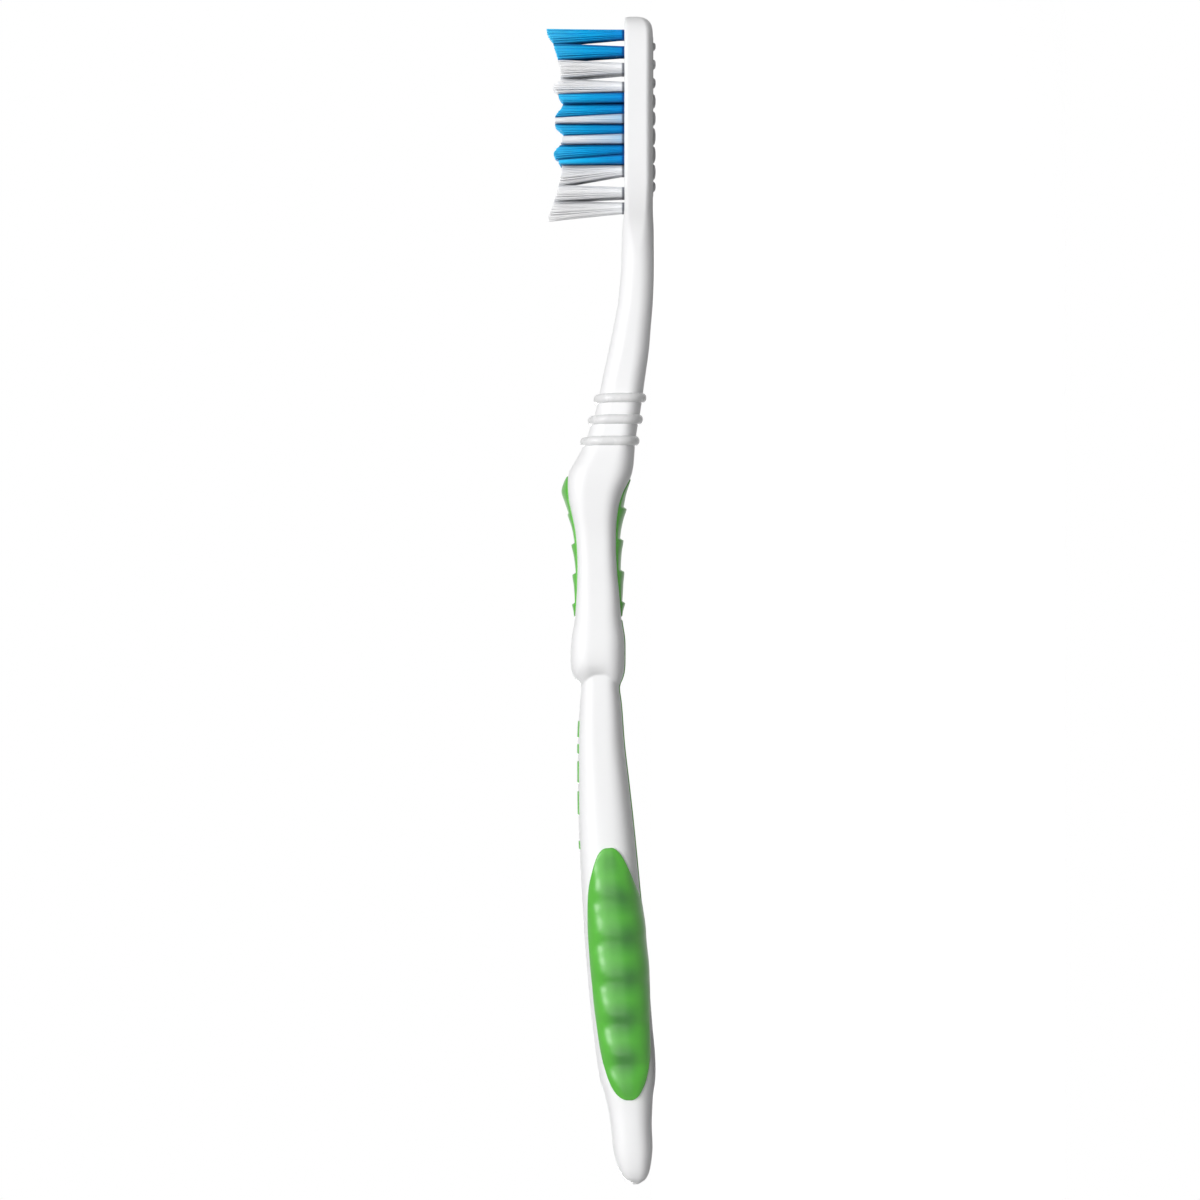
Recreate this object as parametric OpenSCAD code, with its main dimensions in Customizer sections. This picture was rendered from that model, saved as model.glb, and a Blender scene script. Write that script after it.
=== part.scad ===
// Manual toothbrush lying on its back on a table: head end towards +X, bristles up towards +Z.
// The plane y = 0 is its mirror plane. The origin is on the table, below the middle of its length.
// Places along the brush are measured from the tip of the head, and point() turns them into X.

/* [Lengths along the brush] */
// Head plate, from its tip to the start of the neck
head_l = 34; // [32:0.5:38]
// Neck, from the head plate to the crest before the thumb pad
neck_l = 40.7; // [36:0.5:48]
// Grip with the thumb and finger pads, from the crest to the crease
grip_l = 34.4; // [32:0.1:38]
// Palm section, from the crease to the end of its straight belly
palm_l = 64.6; // [58:0.1:74]
// Tail, from there to the rounded end
tail_l = 16.3; // [14:0.5:22]

/* [Body] */
// Width of the head plate
head_w = 12.6; // [11.6:0.1:14]
// Thickness of the head plate
head_t = 4.63; // [4.3:0.05:5.4]
// Fillet round the head plate's bristle face
head_edge_r = 0.6; // [0.3:0.05:0.9]
// Fillet round the head plate's back, sideways
head_back_ry = 2.5; // [1.8:0.1:2.7]
// Fillet round the head plate's back, in height
head_back_rz = 1.8; // [1.2:0.1:2.2]
// Narrowest width of the neck
neck_w = 5.8; // [5:0.1:7]
// Width of the grip at the crest
grip_w = 12.6; // [11.5:0.1:14]
// Greatest width of the palm section
palm_w = 13.8; // [12:0.1:16]
// Height of the crest above the table
crest_h = 14.4; // [13.4:0.1:16]
// Height of the hollow of the back, under the finger pad, above the table
waist_h = 6.7; // [5.8:0.1:7.4]
// How far the collar's crease runs ahead at the sides
crease_bow = 2.1; // [0.5:0.1:2.4]

/* [Tufts] */
// Length of the longest bristles above the head plate
tuft_l = 12.8; // [10.5:0.1:13.5]
// Radius of a tuft hole
hole_r = 0.85; // [0.75:0.01:0.88]
// Depth of a tuft hole
hole_depth = 3.4; // [2.8:0.1:3.5]
// Radius of a drawn bristle, from its middle to a corner
strand_r = 0.17; // [0.13:0.01:0.18]
// Wall of head plate beside the outermost holes
hole_wall = 1.55; // [1.3:0.05:1.9]
// Distance from the tip of the head to the first row of tufts
field_start = 2.9; // [2.6:0.1:3.4]
// Distance from the last row of tufts to the start of the neck
field_end = 2.9; // [2.6:0.1:3.4]
// Length of an anchor plate, across the tuft
anchor_l = 2.2; // [2:0.05:2.4]
// Thickness of an anchor plate
anchor_t = 0.25; // [0.2:0.01:0.35]
// Height of an anchor plate
anchor_h = 1.4; // [1:0.05:1.5]

/* [Neck rings] */
// Half the width of a ring, along the neck
ring_half_l = 0.78; // [0.5:0.01:1]
// How far a ring stands out of the neck
ring_proud = 0.68; // [0.4:0.01:0.9]
// Distance from one ring to the next
ring_pitch = 3.5; // [2.6:0.1:4]
// Distance from the last ring to the crest
ring_to_crest = 5.6; // [5:0.1:6.5]
// How far a ring leans back at the front of the neck
ring_lean = 0.13; // [0:0.01:0.3]
// How far a ring bows towards the head at the sides of the neck
ring_bow = 0.3; // [0:0.01:0.5]

/* [Thumb and finger pads] */
// Length of the thumb pad
thumb_l = 23; // [22:0.1:25]
// Width of the thumb pad
thumb_w = 7.6; // [6.5:0.1:8.5]
// Swell of the thumb pad at its nose
thumb_bulge = 0.85; // [0.4:0.05:1.2]
// Length of the smooth nose of the thumb pad, ahead of its teeth
thumb_nose_l = 6; // [5:0.1:7]
// Length of the finger pad
finger_l = 22.4; // [21:0.1:24.5]
// Width of the finger pad
finger_w = 6.8; // [6:0.1:8]
// Swell of the finger pad
finger_bulge = 0.55; // [0.2:0.05:0.8]
// Length of the smooth nose of the finger pad, ahead of its teeth
finger_nose_l = 4.5; // [4:0.1:6]
// Distance from the crest to the start of the finger pad
finger_start = 0.5; // [0.3:0.1:1]
// Height of the saw teeth
tooth_h = 0.55; // [0.2:0.05:0.7]
// Step of a pad's edge above the body around it
pad_step = 0.2; // [0.12:0.01:0.3]
// Depth of a pad's root below the body's surface
pad_root = 0.9; // [0.5:0.05:1.1]

/* [Palm grips] */
// Distance from the crease to the start of a palm grip
lobe_start = 25.9; // [24:0.1:29]
// Length of a palm grip
lobe_l = 41; // [38:0.1:43]
// Step of a palm grip's edge above the body around it
lobe_step = 0.3; // [0.15:0.01:0.4]
// Depth of a palm grip's root below the body's surface
lobe_root = 0.9; // [0.5:0.05:1.1]
// Height of the waves across a palm grip
wave_h = 0.7; // [0.3:0.01:0.8]
// Distance from one wave's crest to the next
wave_pitch = 6.6; // [5.5:0.1:8]
// Distance from the start of a palm grip to its first wave's crest
wave_start = 12.9; // [11:0.1:14]

/* [Back strip and front marks] */
// Length of the strip along the back
strip_l = 49.5; // [44:0.5:52]
// Width of the strip
strip_w = 1.5; // [1:0.1:1.6]
// Distance from the finger pad's end to the start of the strip
strip_gap = 1.7; // [0.8:0.1:2.4]
// Width of the front marks
mark_w = 5.2; // [3.5:0.1:6]
// Step of the strip and the marks above the body around them
inlay_step = 0.08; // [0.06:0.01:0.15]
// Depth of the strip's and the marks' roots
inlay_root = 0.5; // [0.3:0.05:0.8]

/* [Tongue cleaner] */
// Length of the tongue cleaner
cleaner_l = 26; // [24:0.5:27]
// Width of the tongue cleaner
cleaner_w = 7; // [6:0.1:7.4]
// Distance from the tip of the head to the tongue cleaner
cleaner_start = 3.2; // [2.8:0.1:3.6]
// Depth of the tongue cleaner's root in the head plate
cleaner_root = 0.45; // [0.3:0.05:0.6]
// Height of the tongue cleaner's ribs, which stand on the table
rib_h = 0.44; // [0.3:0.02:0.6]
// Rim between a rib's end and the tongue cleaner's edge
rib_rim = 0.3; // [0.2:0.05:0.6]

/* [Hidden] */
// Play round the filaments' folded roots, and round an anchor in them
play = 0.02;
// Overrun of every cut past the face that it opens on
cut_over = 1;
// How deep the bristles run into their folded root
strand_root = 0.1;
// Web of folded filaments under an anchor
fold_web = 0.3;
round_fn = 48;

// Where the sections start, measured from the tip of the head
neck_s = head_l;
grip_s = neck_s + neck_l;
crease_s = grip_s + grip_l;
tail_s = crease_s + palm_l;
brush_l = tail_s + tail_l;
head_back = rib_h;
head_top = rib_h + head_t;

// Front profile: share of a section's length, and share of the height that it climbs
head_front_shares = [[0, 0.9], [0.006, 0.975], [0.015, 1], [0.93, 1]];
neck_front_shares = [
    [0, 0.035], [0.17, 0.06], [0.3, 0.11], [0.39, 0.18], [0.49, 0.27], [0.58, 0.355], [0.64, 0.41],
    [0.74, 0.5], [0.82, 0.62], [0.88, 0.715], [0.935, 0.84], [0.965, 0.925], [1, 0.99]
];
grip_front_shares = [
    [0.08, 0.992], [0.17, 0.96], [0.26, 0.916], [0.35, 0.897], [0.43, 0.889], [0.565, 0.896],
    [0.675, 0.91], [0.785, 0.953], [0.9, 0.962], [0.945, 0.932], [1, 0.84]
];
palm_front_shares = [
    [0.04, 0.855], [0.14, 0.877], [0.24, 0.876], [0.34, 0.869], [0.44, 0.85], [0.52, 0.833],
    [0.64, 0.799], [0.74, 0.764], [0.84, 0.719], [0.94, 0.663]
];
tail_front_shares = [
    [0, 0.618], [0.08, 0.583], [0.24, 0.538], [0.4, 0.51], [0.64, 0.48], [0.72, 0.463],
    [0.8, 0.436], [0.88, 0.398], [0.955, 0.342], [1, 0.27]
];

// Back profile, the same way
head_back_shares = [[0, 0.6], [0.01, 0.28], [0.02, 0.14], [0.035, 0.05], [0.07, 0], [0.95, 0]];
neck_back_shares = [
    [0, -0.02], [0.17, -0.025], [0.3, 0], [0.39, 0.05], [0.49, 0.1], [0.58, 0.18], [0.64, 0.235],
    [0.74, 0.325], [0.82, 0.42], [0.89, 0.475], [0.935, 0.49], [0.97, 0.52], [1, 0.56]
];
grip_back_shares = [
    [0.08, 0.8], [0.17, 0.91], [0.26, 0.948], [0.35, 0.948], [0.43, 0.933], [0.565, 0.873],
    [0.675, 0.836], [0.785, 0.754], [0.9, 0.754], [0.945, 0.788], [1, 0.89]
];
palm_back_shares = [
    [0.04, 0.842], [0.14, 0.769], [0.24, 0.657], [0.34, 0.549], [0.44, 0.452], [0.52, 0.379],
    [0.64, 0.254], [0.74, 0.164], [0.84, 0.088], [0.96, 0]
];
tail_back_shares = [
    [0, 0.015], [0.08, 0.06], [0.24, 0.08], [0.4, 0.095], [0.64, 0.07], [0.72, 0.09],
    [0.8, 0.115], [0.88, 0.155], [0.955, 0.255], [1, 0.42]
];

// Plan: share of a section's length, and share of half the width that it reaches
head_plan_shares = [
    [0, 0.22], [0.012, 0.42], [0.035, 0.6], [0.065, 0.72], [0.11, 0.83], [0.18, 0.92], [0.27, 0.98],
    [0.37, 1], [0.62, 1], [0.76, 0.955], [0.85, 0.87], [0.93, 0.73]
];
neck_plan_shares = [
    [0, 0.22], [0.05, 0.11], [0.12, 0.03], [0.25, 0], [0.44, 0.06], [0.64, 0.235], [0.79, 0.5],
    [0.91, 0.79]
];
grip_plan_shares = [
    [0, 0.92], [0.16, 0.87], [0.33, 0.79], [0.51, 0.79], [0.69, 0.86], [0.84, 0.93], [0.93, 0.9],
    [0.975, 0.8], [1, 0.7]
];
palm_plan_shares = [
    [0.015, 0.69], [0.08, 0.715], [0.17, 0.754], [0.33, 0.826], [0.48, 0.93], [0.64, 1], [0.76, 1],
    [0.88, 0.942], [0.975, 0.855]
];
tail_plan_shares = [[0.26, 0.725], [0.63, 0.623], [0.82, 0.52], [0.94, 0.36], [1, 0.1]];

// Section: how far the head's edge fillets have grown into the handle's oval
oval_shares = [[0, 0], [0.8, 0], [0.93, 0.2], [1.15, 1], [2, 1]];
// Share of half the width that the oval's corners take up: less along the grip, whose front and
// back are flatter
neck_corner_shares = [[0, 0.88], [0.75, 0.88]];
grip_corner_shares = [[0, 0.7], [0.15, 0.62], [0.8, 0.62], [1, 0.75]];
palm_corner_shares = [[0.2, 0.88], [1, 0.88]];
// Share of the height that they take up: less up the neck and along the grip, whose sides are flatter
neck_rise_shares = [[0, 0.47], [0.25, 0.44], [0.6, 0.37], [0.85, 0.34]];
grip_rise_shares = [[0, 0.34], [0.5, 0.35], [0.9, 0.38]];
palm_rise_shares = [[0.05, 0.38], [0.2, 0.41], [0.35, 0.46], [0.4, 0.47], [1, 0.47]];
// Share of the height that a fillet may take up where the head thins out at its tip
tip_front_share = 0.35;
tip_back_share = 0.6;

// Loft stations as shares of each section
head_ring_shares = [0, 0.006, 0.015, 0.028, 0.045, 0.07, 0.1, 0.14, 0.19, 0.26, 0.35, 0.5, 0.62,
    0.7, 0.76, 0.81, 0.85, 0.89, 0.93, 0.965];
tail_ring_shares = [0, 0.08, 0.16, 0.28, 0.4, 0.52, 0.64, 0.72, 0.8, 0.86, 0.91, 0.955, 0.98, 1];
neck_rings = 18;
grip_rings = 20;
palm_rings = 25;
// Segments in each quarter of a section
quarter_segs = 4;

// Smooth curves through rows of [place, value], which never overshoot a row
function mix(low, high, share) = low + (high - low) * share;
function zone(start, span, low, high, shares) =
    [for (row = shares) [start + span * row[0], mix(low, high, row[1])]];
function slope(rows, i) = (rows[i + 1][1] - rows[i][1]) / (rows[i + 1][0] - rows[i][0]);
function tangent(rows, i) =
    i == 0 ? slope(rows, 0) :
    i == len(rows) - 1 ? slope(rows, i - 1) :
    slope(rows, i - 1) * slope(rows, i) <= 0 ? 0 :
    2 * slope(rows, i - 1) * slope(rows, i) / (slope(rows, i - 1) + slope(rows, i));
function span_at(rows, place, i = 0) =
    i >= len(rows) - 2 || place < rows[i + 1][0] ? i : span_at(rows, place, i + 1);
function curve(rows, place) =
    let (
        i = span_at(rows, place),
        span = rows[i + 1][0] - rows[i][0],
        t = max(0, min(1, (place - rows[i][0]) / span))
    )
    rows[i][1] * (1 + 2 * t) * pow(1 - t, 2) + rows[i + 1][1] * t * t * (3 - 2 * t)
    + span * t * (1 - t) * (tangent(rows, i) * (1 - t) - tangent(rows, i + 1) * t);

front_rows = concat(
    zone(0, head_l, head_back, head_top, head_front_shares),
    zone(neck_s, neck_l, head_top, crest_h, neck_front_shares),
    zone(grip_s, grip_l, 0, crest_h, grip_front_shares),
    zone(crease_s, palm_l, 0, crest_h, palm_front_shares),
    zone(tail_s, tail_l, 0, crest_h, tail_front_shares)
);
back_rows = concat(
    zone(0, head_l, head_back, head_top, head_back_shares),
    zone(neck_s, neck_l, head_back, waist_h, neck_back_shares),
    zone(grip_s, grip_l, 0, waist_h, grip_back_shares),
    zone(crease_s, palm_l, 0, waist_h, palm_back_shares),
    zone(tail_s, tail_l, 0, waist_h, tail_back_shares)
);
plan_rows = concat(
    zone(0, head_l, 0, head_w / 2, head_plan_shares),
    zone(neck_s, neck_l, neck_w / 2, grip_w / 2, neck_plan_shares),
    zone(grip_s, grip_l, 0, palm_w / 2, grip_plan_shares),
    zone(crease_s, palm_l, 0, palm_w / 2, palm_plan_shares),
    zone(tail_s, tail_l, 0, palm_w / 2, tail_plan_shares)
);
oval_rows = zone(0, head_l, 0, 1, oval_shares);
corner_rows = concat(
    zone(neck_s, neck_l, 0, 1, neck_corner_shares),
    zone(grip_s, grip_l, 0, 1, grip_corner_shares),
    zone(crease_s, palm_l, 0, 1, palm_corner_shares)
);
rise_rows = concat(
    zone(neck_s, neck_l, 0, 1, neck_rise_shares),
    zone(grip_s, grip_l, 0, 1, grip_rise_shares),
    zone(crease_s, palm_l, 0, 1, palm_rise_shares)
);

// A section at one place: [half width, front, back, front corner y, z, back corner y, z]
function section(s) =
    let (
        w = curve(plan_rows, s),
        front = curve(front_rows, s),
        back = curve(back_rows, s),
        h = front - back,
        corner = w * curve(corner_rows, s),
        rise = h * curve(rise_rows, s),
        k = curve(oval_rows, s)
    )
    [
        w, front, back,
        mix(min(head_edge_r, corner), corner, k),
        mix(min(head_edge_r, h * tip_front_share), rise, k),
        mix(min(head_back_ry, corner), corner, k),
        mix(min(head_back_rz, h * tip_back_share), rise, k)
    ];

// A point of the brush: place along it, then Y and Z
function point(s, y, z) = [brush_l / 2 - s, y, z];
// A section's rim at a turn from 0, front, over 90, the +Y side, to 180, back
function rim(c, turn, in_front) =
    in_front ?
        [c[0] - c[3] + c[3] * sin(turn), c[1] - c[4] + c[4] * cos(turn)] :
        [c[0] - c[5] + c[5] * sin(turn), c[2] + c[6] + c[6] * cos(turn)];
function rim_normal(c, turn, in_front) =
    let (n = in_front ? [c[4] * sin(turn), c[3] * cos(turn)] : [c[6] * sin(turn), c[5] * cos(turn)])
    n / norm(n);
// The turns of a ring's points, down the +Y side: the two quarters both have a point at 90
side_turns = concat(
    [for (i = [0:quarter_segs]) 90 * i / quarter_segs],
    [for (i = [0:quarter_segs]) 90 + 90 * i / quarter_segs]
);
// The first of the two points at 90 belongs to the front quarter, the second to the back one
function side_points(c) =
    [for (i = [0:len(side_turns) - 1]) rim(c, side_turns[i], i <= quarter_segs)];
// The crease runs ahead at the sides, most at half the height: its reach along the handle
bow_reach_share = 0.26;
bow_reach = grip_l * bow_reach_share;
function bow(s, z, front, back) =
    let (t = (s - crease_s) / bow_reach, v = (2 * z - front - back) / (front - back))
    abs(t) < 1 ? crease_bow * pow(1 - t * t, 2) * (1 - v * v) : 0;
function ring(s) =
    let (c = section(s), side = side_points(c), n = len(side))
    concat(
        [for (p = side) point(s - bow(s, p[1], c[1], c[2]), p[0], p[1])],
        [for (i = [n - 1:-1:0]) point(s - bow(s, side[i][1], c[1], c[2]), -side[i][0], side[i][1])]
    );
stations = concat(
    [for (k = head_ring_shares) head_l * k],
    [for (i = [0:neck_rings - 1]) neck_s + neck_l * i / neck_rings],
    [for (i = [0:grip_rings - 1]) grip_s + grip_l * i / grip_rings],
    [for (i = [0:palm_rings - 1]) crease_s + palm_l * i / palm_rings],
    [for (k = tail_ring_shares) tail_s + tail_l * k]
);

// Height of the body's front or back skin at a place and a distance from the middle
function front_skin(s, y) =
    let (c = section(s), d = max(0, abs(y) - c[0] + c[3]))
    c[1] - c[4] + c[4] * sqrt(max(0, 1 - pow(d / c[3], 2)));
function back_skin(s, y) =
    let (c = section(s), d = max(0, abs(y) - c[0] + c[5]))
    c[2] + c[6] - c[6] * sqrt(max(0, 1 - pow(d / c[5], 2)));

function flat(rows) = [for (row = rows) for (p = row) p];

// A closed strip of skin between two grids of points, the outer one on the side that shows
module slab(outer, inner, turned = false) {
    n = len(outer);
    m = len(outer[0]);
    all = n * m;
    grid = [for (i = [0:n - 2]) for (j = [0:m - 2]) let (a = i * m + j)
        each [[a, a + 1, a + m], [a + 1, a + m + 1, a + m]]];
    rim_path = concat(
        [for (j = [0:m - 2]) j],
        [for (i = [0:n - 2]) i * m + m - 1],
        [for (j = [m - 1:-1:1]) (n - 1) * m + j],
        [for (i = [n - 1:-1:1]) i * m]
    );
    count = len(rim_path);
    walls = [for (k = [0:count - 1]) let (a = rim_path[k], b = rim_path[(k + 1) % count])
        each [[b, a, a + all], [b, a + all, b + all]]];
    faces = concat(grid, [for (f = grid) [f[2] + all, f[1] + all, f[0] + all]], walls);
    polyhedron(
        points = concat(flat(outer), flat(inner)),
        faces = turned ? [for (f = faces) [f[2], f[1], f[0]]] : faces,
        convexity = 6
    );
}

// A tube of rings, closed in itself or capped at both ends
module loft(rings, closed = false) {
    n = len(rings);
    m = len(rings[0]);
    last = closed ? n - 1 : n - 2;
    sides = [for (i = [0:last]) for (j = [0:m - 1])
        let (a = i * m + j, b = i * m + (j + 1) % m, c = ((i + 1) % n) * m)
        each [[a, b, c + j], [b, c + (j + 1) % m, c + j]]];
    caps = closed ? [] : concat(
        [for (j = [1:m - 2]) [0, j + 1, j]],
        [for (j = [1:m - 2]) [(n - 1) * m, (n - 1) * m + j, (n - 1) * m + j + 1]]
    );
    polyhedron(points = flat(rings), faces = concat(sides, caps), convexity = 10);
}

// Tuft rows: share of the bristle field at the root, tufts in the row, and 1 for blue
row_shares = [
    [0, 2, 1], [0.1, 3, 1], [0.2, 4, 0], [0.305, 3, 0], [0.37, 4, 1], [0.433, 3, 1], [0.491, 4, 0],
    [0.55, 3, 1], [0.607, 4, 0], [0.665, 3, 1], [0.725, 4, 1], [0.785, 3, 0], [0.915, 4, 0], [1, 3, 0]
];
// Where one row's tips end and the next row's start
tip_edge_shares = [-0.034, 0.051, 0.147, 0.249, 0.343, 0.399, 0.475, 0.514, 0.579, 0.631, 0.708,
    0.747, 0.867, 0.954, 1.077];
// Trim line: share of the bristle field, and share of the longest bristle
trim_shares = [
    [-0.034, 1], [0.05, 0.9], [0.147, 0.84], [0.24, 0.805], [0.252, 0.81], [0.295, 0.906],
    [0.338, 0.842], [0.352, 0.832], [0.395, 0.776], [0.41, 0.785], [0.475, 0.88], [0.515, 0.88],
    [0.577, 0.768], [0.585, 0.772], [0.623, 0.803], [0.683, 0.897], [0.737, 0.82], [0.755, 0.795],
    [0.863, 0.833], [0.951, 0.888], [1.077, 0.98]
];
field_l = head_l - field_start - field_end;
trim_rows = zone(field_start, field_l, 0, tuft_l, trim_shares);
row_count = len(row_shares);
most_in_row = 4;
tuft_gap = (head_w - 2 * hole_wall - 2 * hole_r) / (most_in_row - 1);
function row_s(r) = field_start + field_l * row_shares[r][0];
function tuft_y(r, c) = tuft_gap * (c - (row_shares[r][1] - 1) / 2);
function tip_low(r) = field_start + field_l * tip_edge_shares[r];
function tip_high(r) = field_start + field_l * tip_edge_shares[r + 1];

// Bristles of a tuft: turns round its middle, on an inner and an outer circle
inner_strands = 3;
outer_strands = 7;
outer_circle_r = hole_r - play - strand_r - play;
inner_circle_share = 0.4;
strand_roots = concat(
    [for (i = [0:inner_strands - 1]) outer_circle_r * inner_circle_share
        * [cos(180 + 360 * i / inner_strands), sin(180 + 360 * i / inner_strands)]],
    [for (i = [0:outer_strands - 1]) outer_circle_r
        * [cos(360 * i / outer_strands), sin(360 * i / outer_strands)]]
);
function tuft_name(r, c) = str("tuft_r", r < 9 ? "0" : "", r + 1, "_c", c + 1);
tuft_names = [for (r = [0:row_count - 1]) for (c = [0:row_shares[r][1] - 1]) tuft_name(r, c)];

ring_count = 3;
function ring_name(k) = str("neck_ring_", k + 1);
function ring_s(k) = grip_s - ring_to_crest - ring_pitch * (ring_count - 1 - k);

// Pads: share of the length, and share of half the width or of the swell
pad_plan_shares = [[0, 0.12], [0.04, 0.45], [0.1, 0.8], [0.18, 1], [0.4, 1], [0.6, 0.95],
    [0.8, 0.88], [0.92, 0.7], [1, 0.3]];
thumb_swell_shares = [[0, 0], [0.05, 0.6], [0.11, 1], [0.18, 0.62], [0.26, 0.28], [0.35, 0.12],
    [0.5, 0], [1, 0]];
finger_swell_shares = [[0, 0], [0.1, 0.7], [0.2, 1], [0.45, 0.68], [0.7, 0.62], [0.9, 0.3], [1, 0]];
nose_ring_shares = [0, 0.07, 0.18, 0.35, 0.6, 0.85];
// A saw tooth: share of the pitch, and share of the tooth's height
tooth_shares = [[0, 0], [0.08, 1], [0.4, 0.55], [0.75, 0.2]];
tooth_count = 4;
// Pitches of teeth in a pad: the last tooth is cut short, and falls away over this share of one
tooth_run = 3.5;
tooth_fade_share = 0.5;
// The first thumb tooth is a low one
thumb_tooth_shares = [0.4, 1, 1, 1];
finger_tooth_shares = [1, 1, 1, 1];
pad_cols = 8;

// Rows of a pad: [place from its start, height of the tooth there]
function pad_rows(pad_l, nose_l, height_shares) =
    let (pitch = (pad_l - nose_l) / tooth_run)
    concat(
        [for (k = nose_ring_shares) [nose_l * k, 0]],
        [for (i = [0:tooth_count - 1]) for (row = tooth_shares) if (i + row[0] < tooth_run)
            [nose_l + pitch * (i + row[0]), tooth_h * height_shares[i] * row[1]
                * min(1, (tooth_run - i - row[0]) / tooth_fade_share)]],
        [[pad_l, 0]]
    );
// A pad's grid of points: out is 1 for the skin that shows and 0 for the root
function pad_grid(start, pad_l, pad_w, rows, swell_rows, front, out) =
    [for (row = rows)
        let (
            s = start + row[0],
            half = curve(zone(0, pad_l, 0, pad_w / 2, pad_plan_shares), row[0]),
            swell = curve(swell_rows, row[0])
        )
        [for (j = [0:pad_cols])
            let (
                u = 2 * j / pad_cols - 1,
                y = u * half,
                lift = out == 1 ? pad_step + swell * (1 - u * u) + row[1] * (1 - pow(u, 4)) : -pad_root
            )
            point(s, y, front ? front_skin(s, y) + lift : back_skin(s, y) - lift)]];

module thumb_pad_solid() {
    rows = pad_rows(thumb_l, thumb_nose_l, thumb_tooth_shares);
    swell = zone(0, thumb_l, 0, thumb_bulge, thumb_swell_shares);
    slab(
        pad_grid(grip_s, thumb_l, thumb_w, rows, swell, true, 1),
        pad_grid(grip_s, thumb_l, thumb_w, rows, swell, true, 0),
        turned = true
    );
}

module finger_pad_solid() {
    rows = pad_rows(finger_l, finger_nose_l, finger_tooth_shares);
    swell = zone(0, finger_l, 0, finger_bulge, finger_swell_shares);
    slab(
        pad_grid(grip_s + finger_start, finger_l, finger_w, rows, swell, false, 1),
        pad_grid(grip_s + finger_start, finger_l, finger_w, rows, swell, false, 0)
    );
}

// Palm grips: share of the length, and share of the half turn from front to back
lobe_front_shares = [[0, 0.515], [0.008, 0.455], [0.028, 0.4], [0.061, 0.35], [0.104, 0.303],
    [0.154, 0.255], [0.217, 0.219], [0.3, 0.197], [0.391, 0.184], [0.5, 0.187], [0.605, 0.191],
    [0.747, 0.203], [0.833, 0.222], [0.918, 0.277], [0.968, 0.335], [0.99, 0.4], [1, 0.46]];
lobe_back_shares = [[0, 0.555], [0.008, 0.585], [0.023, 0.63], [0.078, 0.718], [0.134, 0.791],
    [0.173, 0.85], [0.21, 0.92], [0.25, 0.955], [0.34, 0.965], [0.436, 0.955], [0.53, 0.935],
    [0.61, 0.887], [0.69, 0.845], [0.8, 0.805], [0.91, 0.73], [0.98, 0.63], [1, 0.53]];
lobe_end_shares = [0, 0.012, 0.03];
lobe_rows = 24;
lobe_cols = 7;
lobe_ring_shares = concat(
    lobe_end_shares,
    [for (i = [1:lobe_rows - 1]) mix(lobe_end_shares[2], 1 - lobe_end_shares[2], i / lobe_rows)],
    [for (i = [2:-1:0]) 1 - lobe_end_shares[i]]
);
lobe_s = crease_s + lobe_start;
function wave(d) = wave_h * (1 + cos(360 * (d - wave_start) / wave_pitch)) / 2;
function lobe_grid(side, out) =
    [for (k = lobe_ring_shares)
        let (d = lobe_l * k, s = lobe_s + d, c = section(s))
        [for (j = [0:lobe_cols])
            let (
                u = 2 * j / lobe_cols - 1,
                turn = 180 * mix(curve(lobe_front_shares, k), curve(lobe_back_shares, k), j / lobe_cols),
                fade = (1 - u * u) * (1 - pow(2 * k - 1, 8)),
                lift = out == 1 ? lobe_step + wave(d) * fade : -lobe_root,
                p = rim(c, turn, turn <= 90) + lift * rim_normal(c, turn, turn <= 90)
            )
            point(s, side * p[0], p[1])]];
module palm_grip_solid(side) slab(lobe_grid(side, 1), lobe_grid(side, 0), turned = side > 0);

// The strip along the back, from the finger pad to between the palm grips
strip_s = grip_s + finger_start + finger_l + strip_gap;
strip_rows = 18;
function strip_grid(lift) =
    [for (i = [0:strip_rows]) let (s = strip_s + strip_l * i / strip_rows)
        [for (u = [-1, 0, 1]) point(s, u * strip_w / 2, back_skin(s, u * strip_w / 2) - lift)]];
module spine_strip_solid() slab(strip_grid(inlay_step), strip_grid(-inlay_root));

// Plain bars down the front: share of the palm section where each starts and ends
mark_shares = [[0.084, 0.127], [0.142, 0.167], [0.185, 0.241], [0.261, 0.321], [0.386, 0.408]];
function mark_grid(ends, lift) =
    [for (k = [ends[0], mix(ends[0], ends[1], 0.5), ends[1]])
        [for (u = [-1, -0.5, 0, 0.5, 1])
            let (s = crease_s + palm_l * k, y = u * mark_w / 2)
            point(s, y, front_skin(s, y) + lift)]];
module front_mark_solids() {
    for (ends = mark_shares)
        slab(mark_grid(ends, inlay_step), mark_grid(ends, -inlay_root), turned = true);
}

// A neck ring: a round bead laid round one section of the neck
bead_segs = 8;
function bead(k) =
    let (s = ring_s(k), c = section(s), side = side_points(c), n = len(side))
    [for (half = [1, -1]) for (i = half > 0 ? [0:n - 1] : [n - 1:-1:0])
        let (
            turn = side_turns[i],
            normal = rim_normal(c, turn, i <= quarter_segs),
            lean = -ring_lean * cos(turn) + ring_bow * pow(sin(turn), 2)
        )
        [for (b = [0:bead_segs - 1])
            let (
                p = side[i] + ring_proud * cos(360 * b / bead_segs) * normal,
                along = -ring_half_l * sin(360 * b / bead_segs)
            )
            point(s - lean - along, half * p[0], p[1])]];
module neck_ring_solid(k) loft(bead(k), closed = true);

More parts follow.
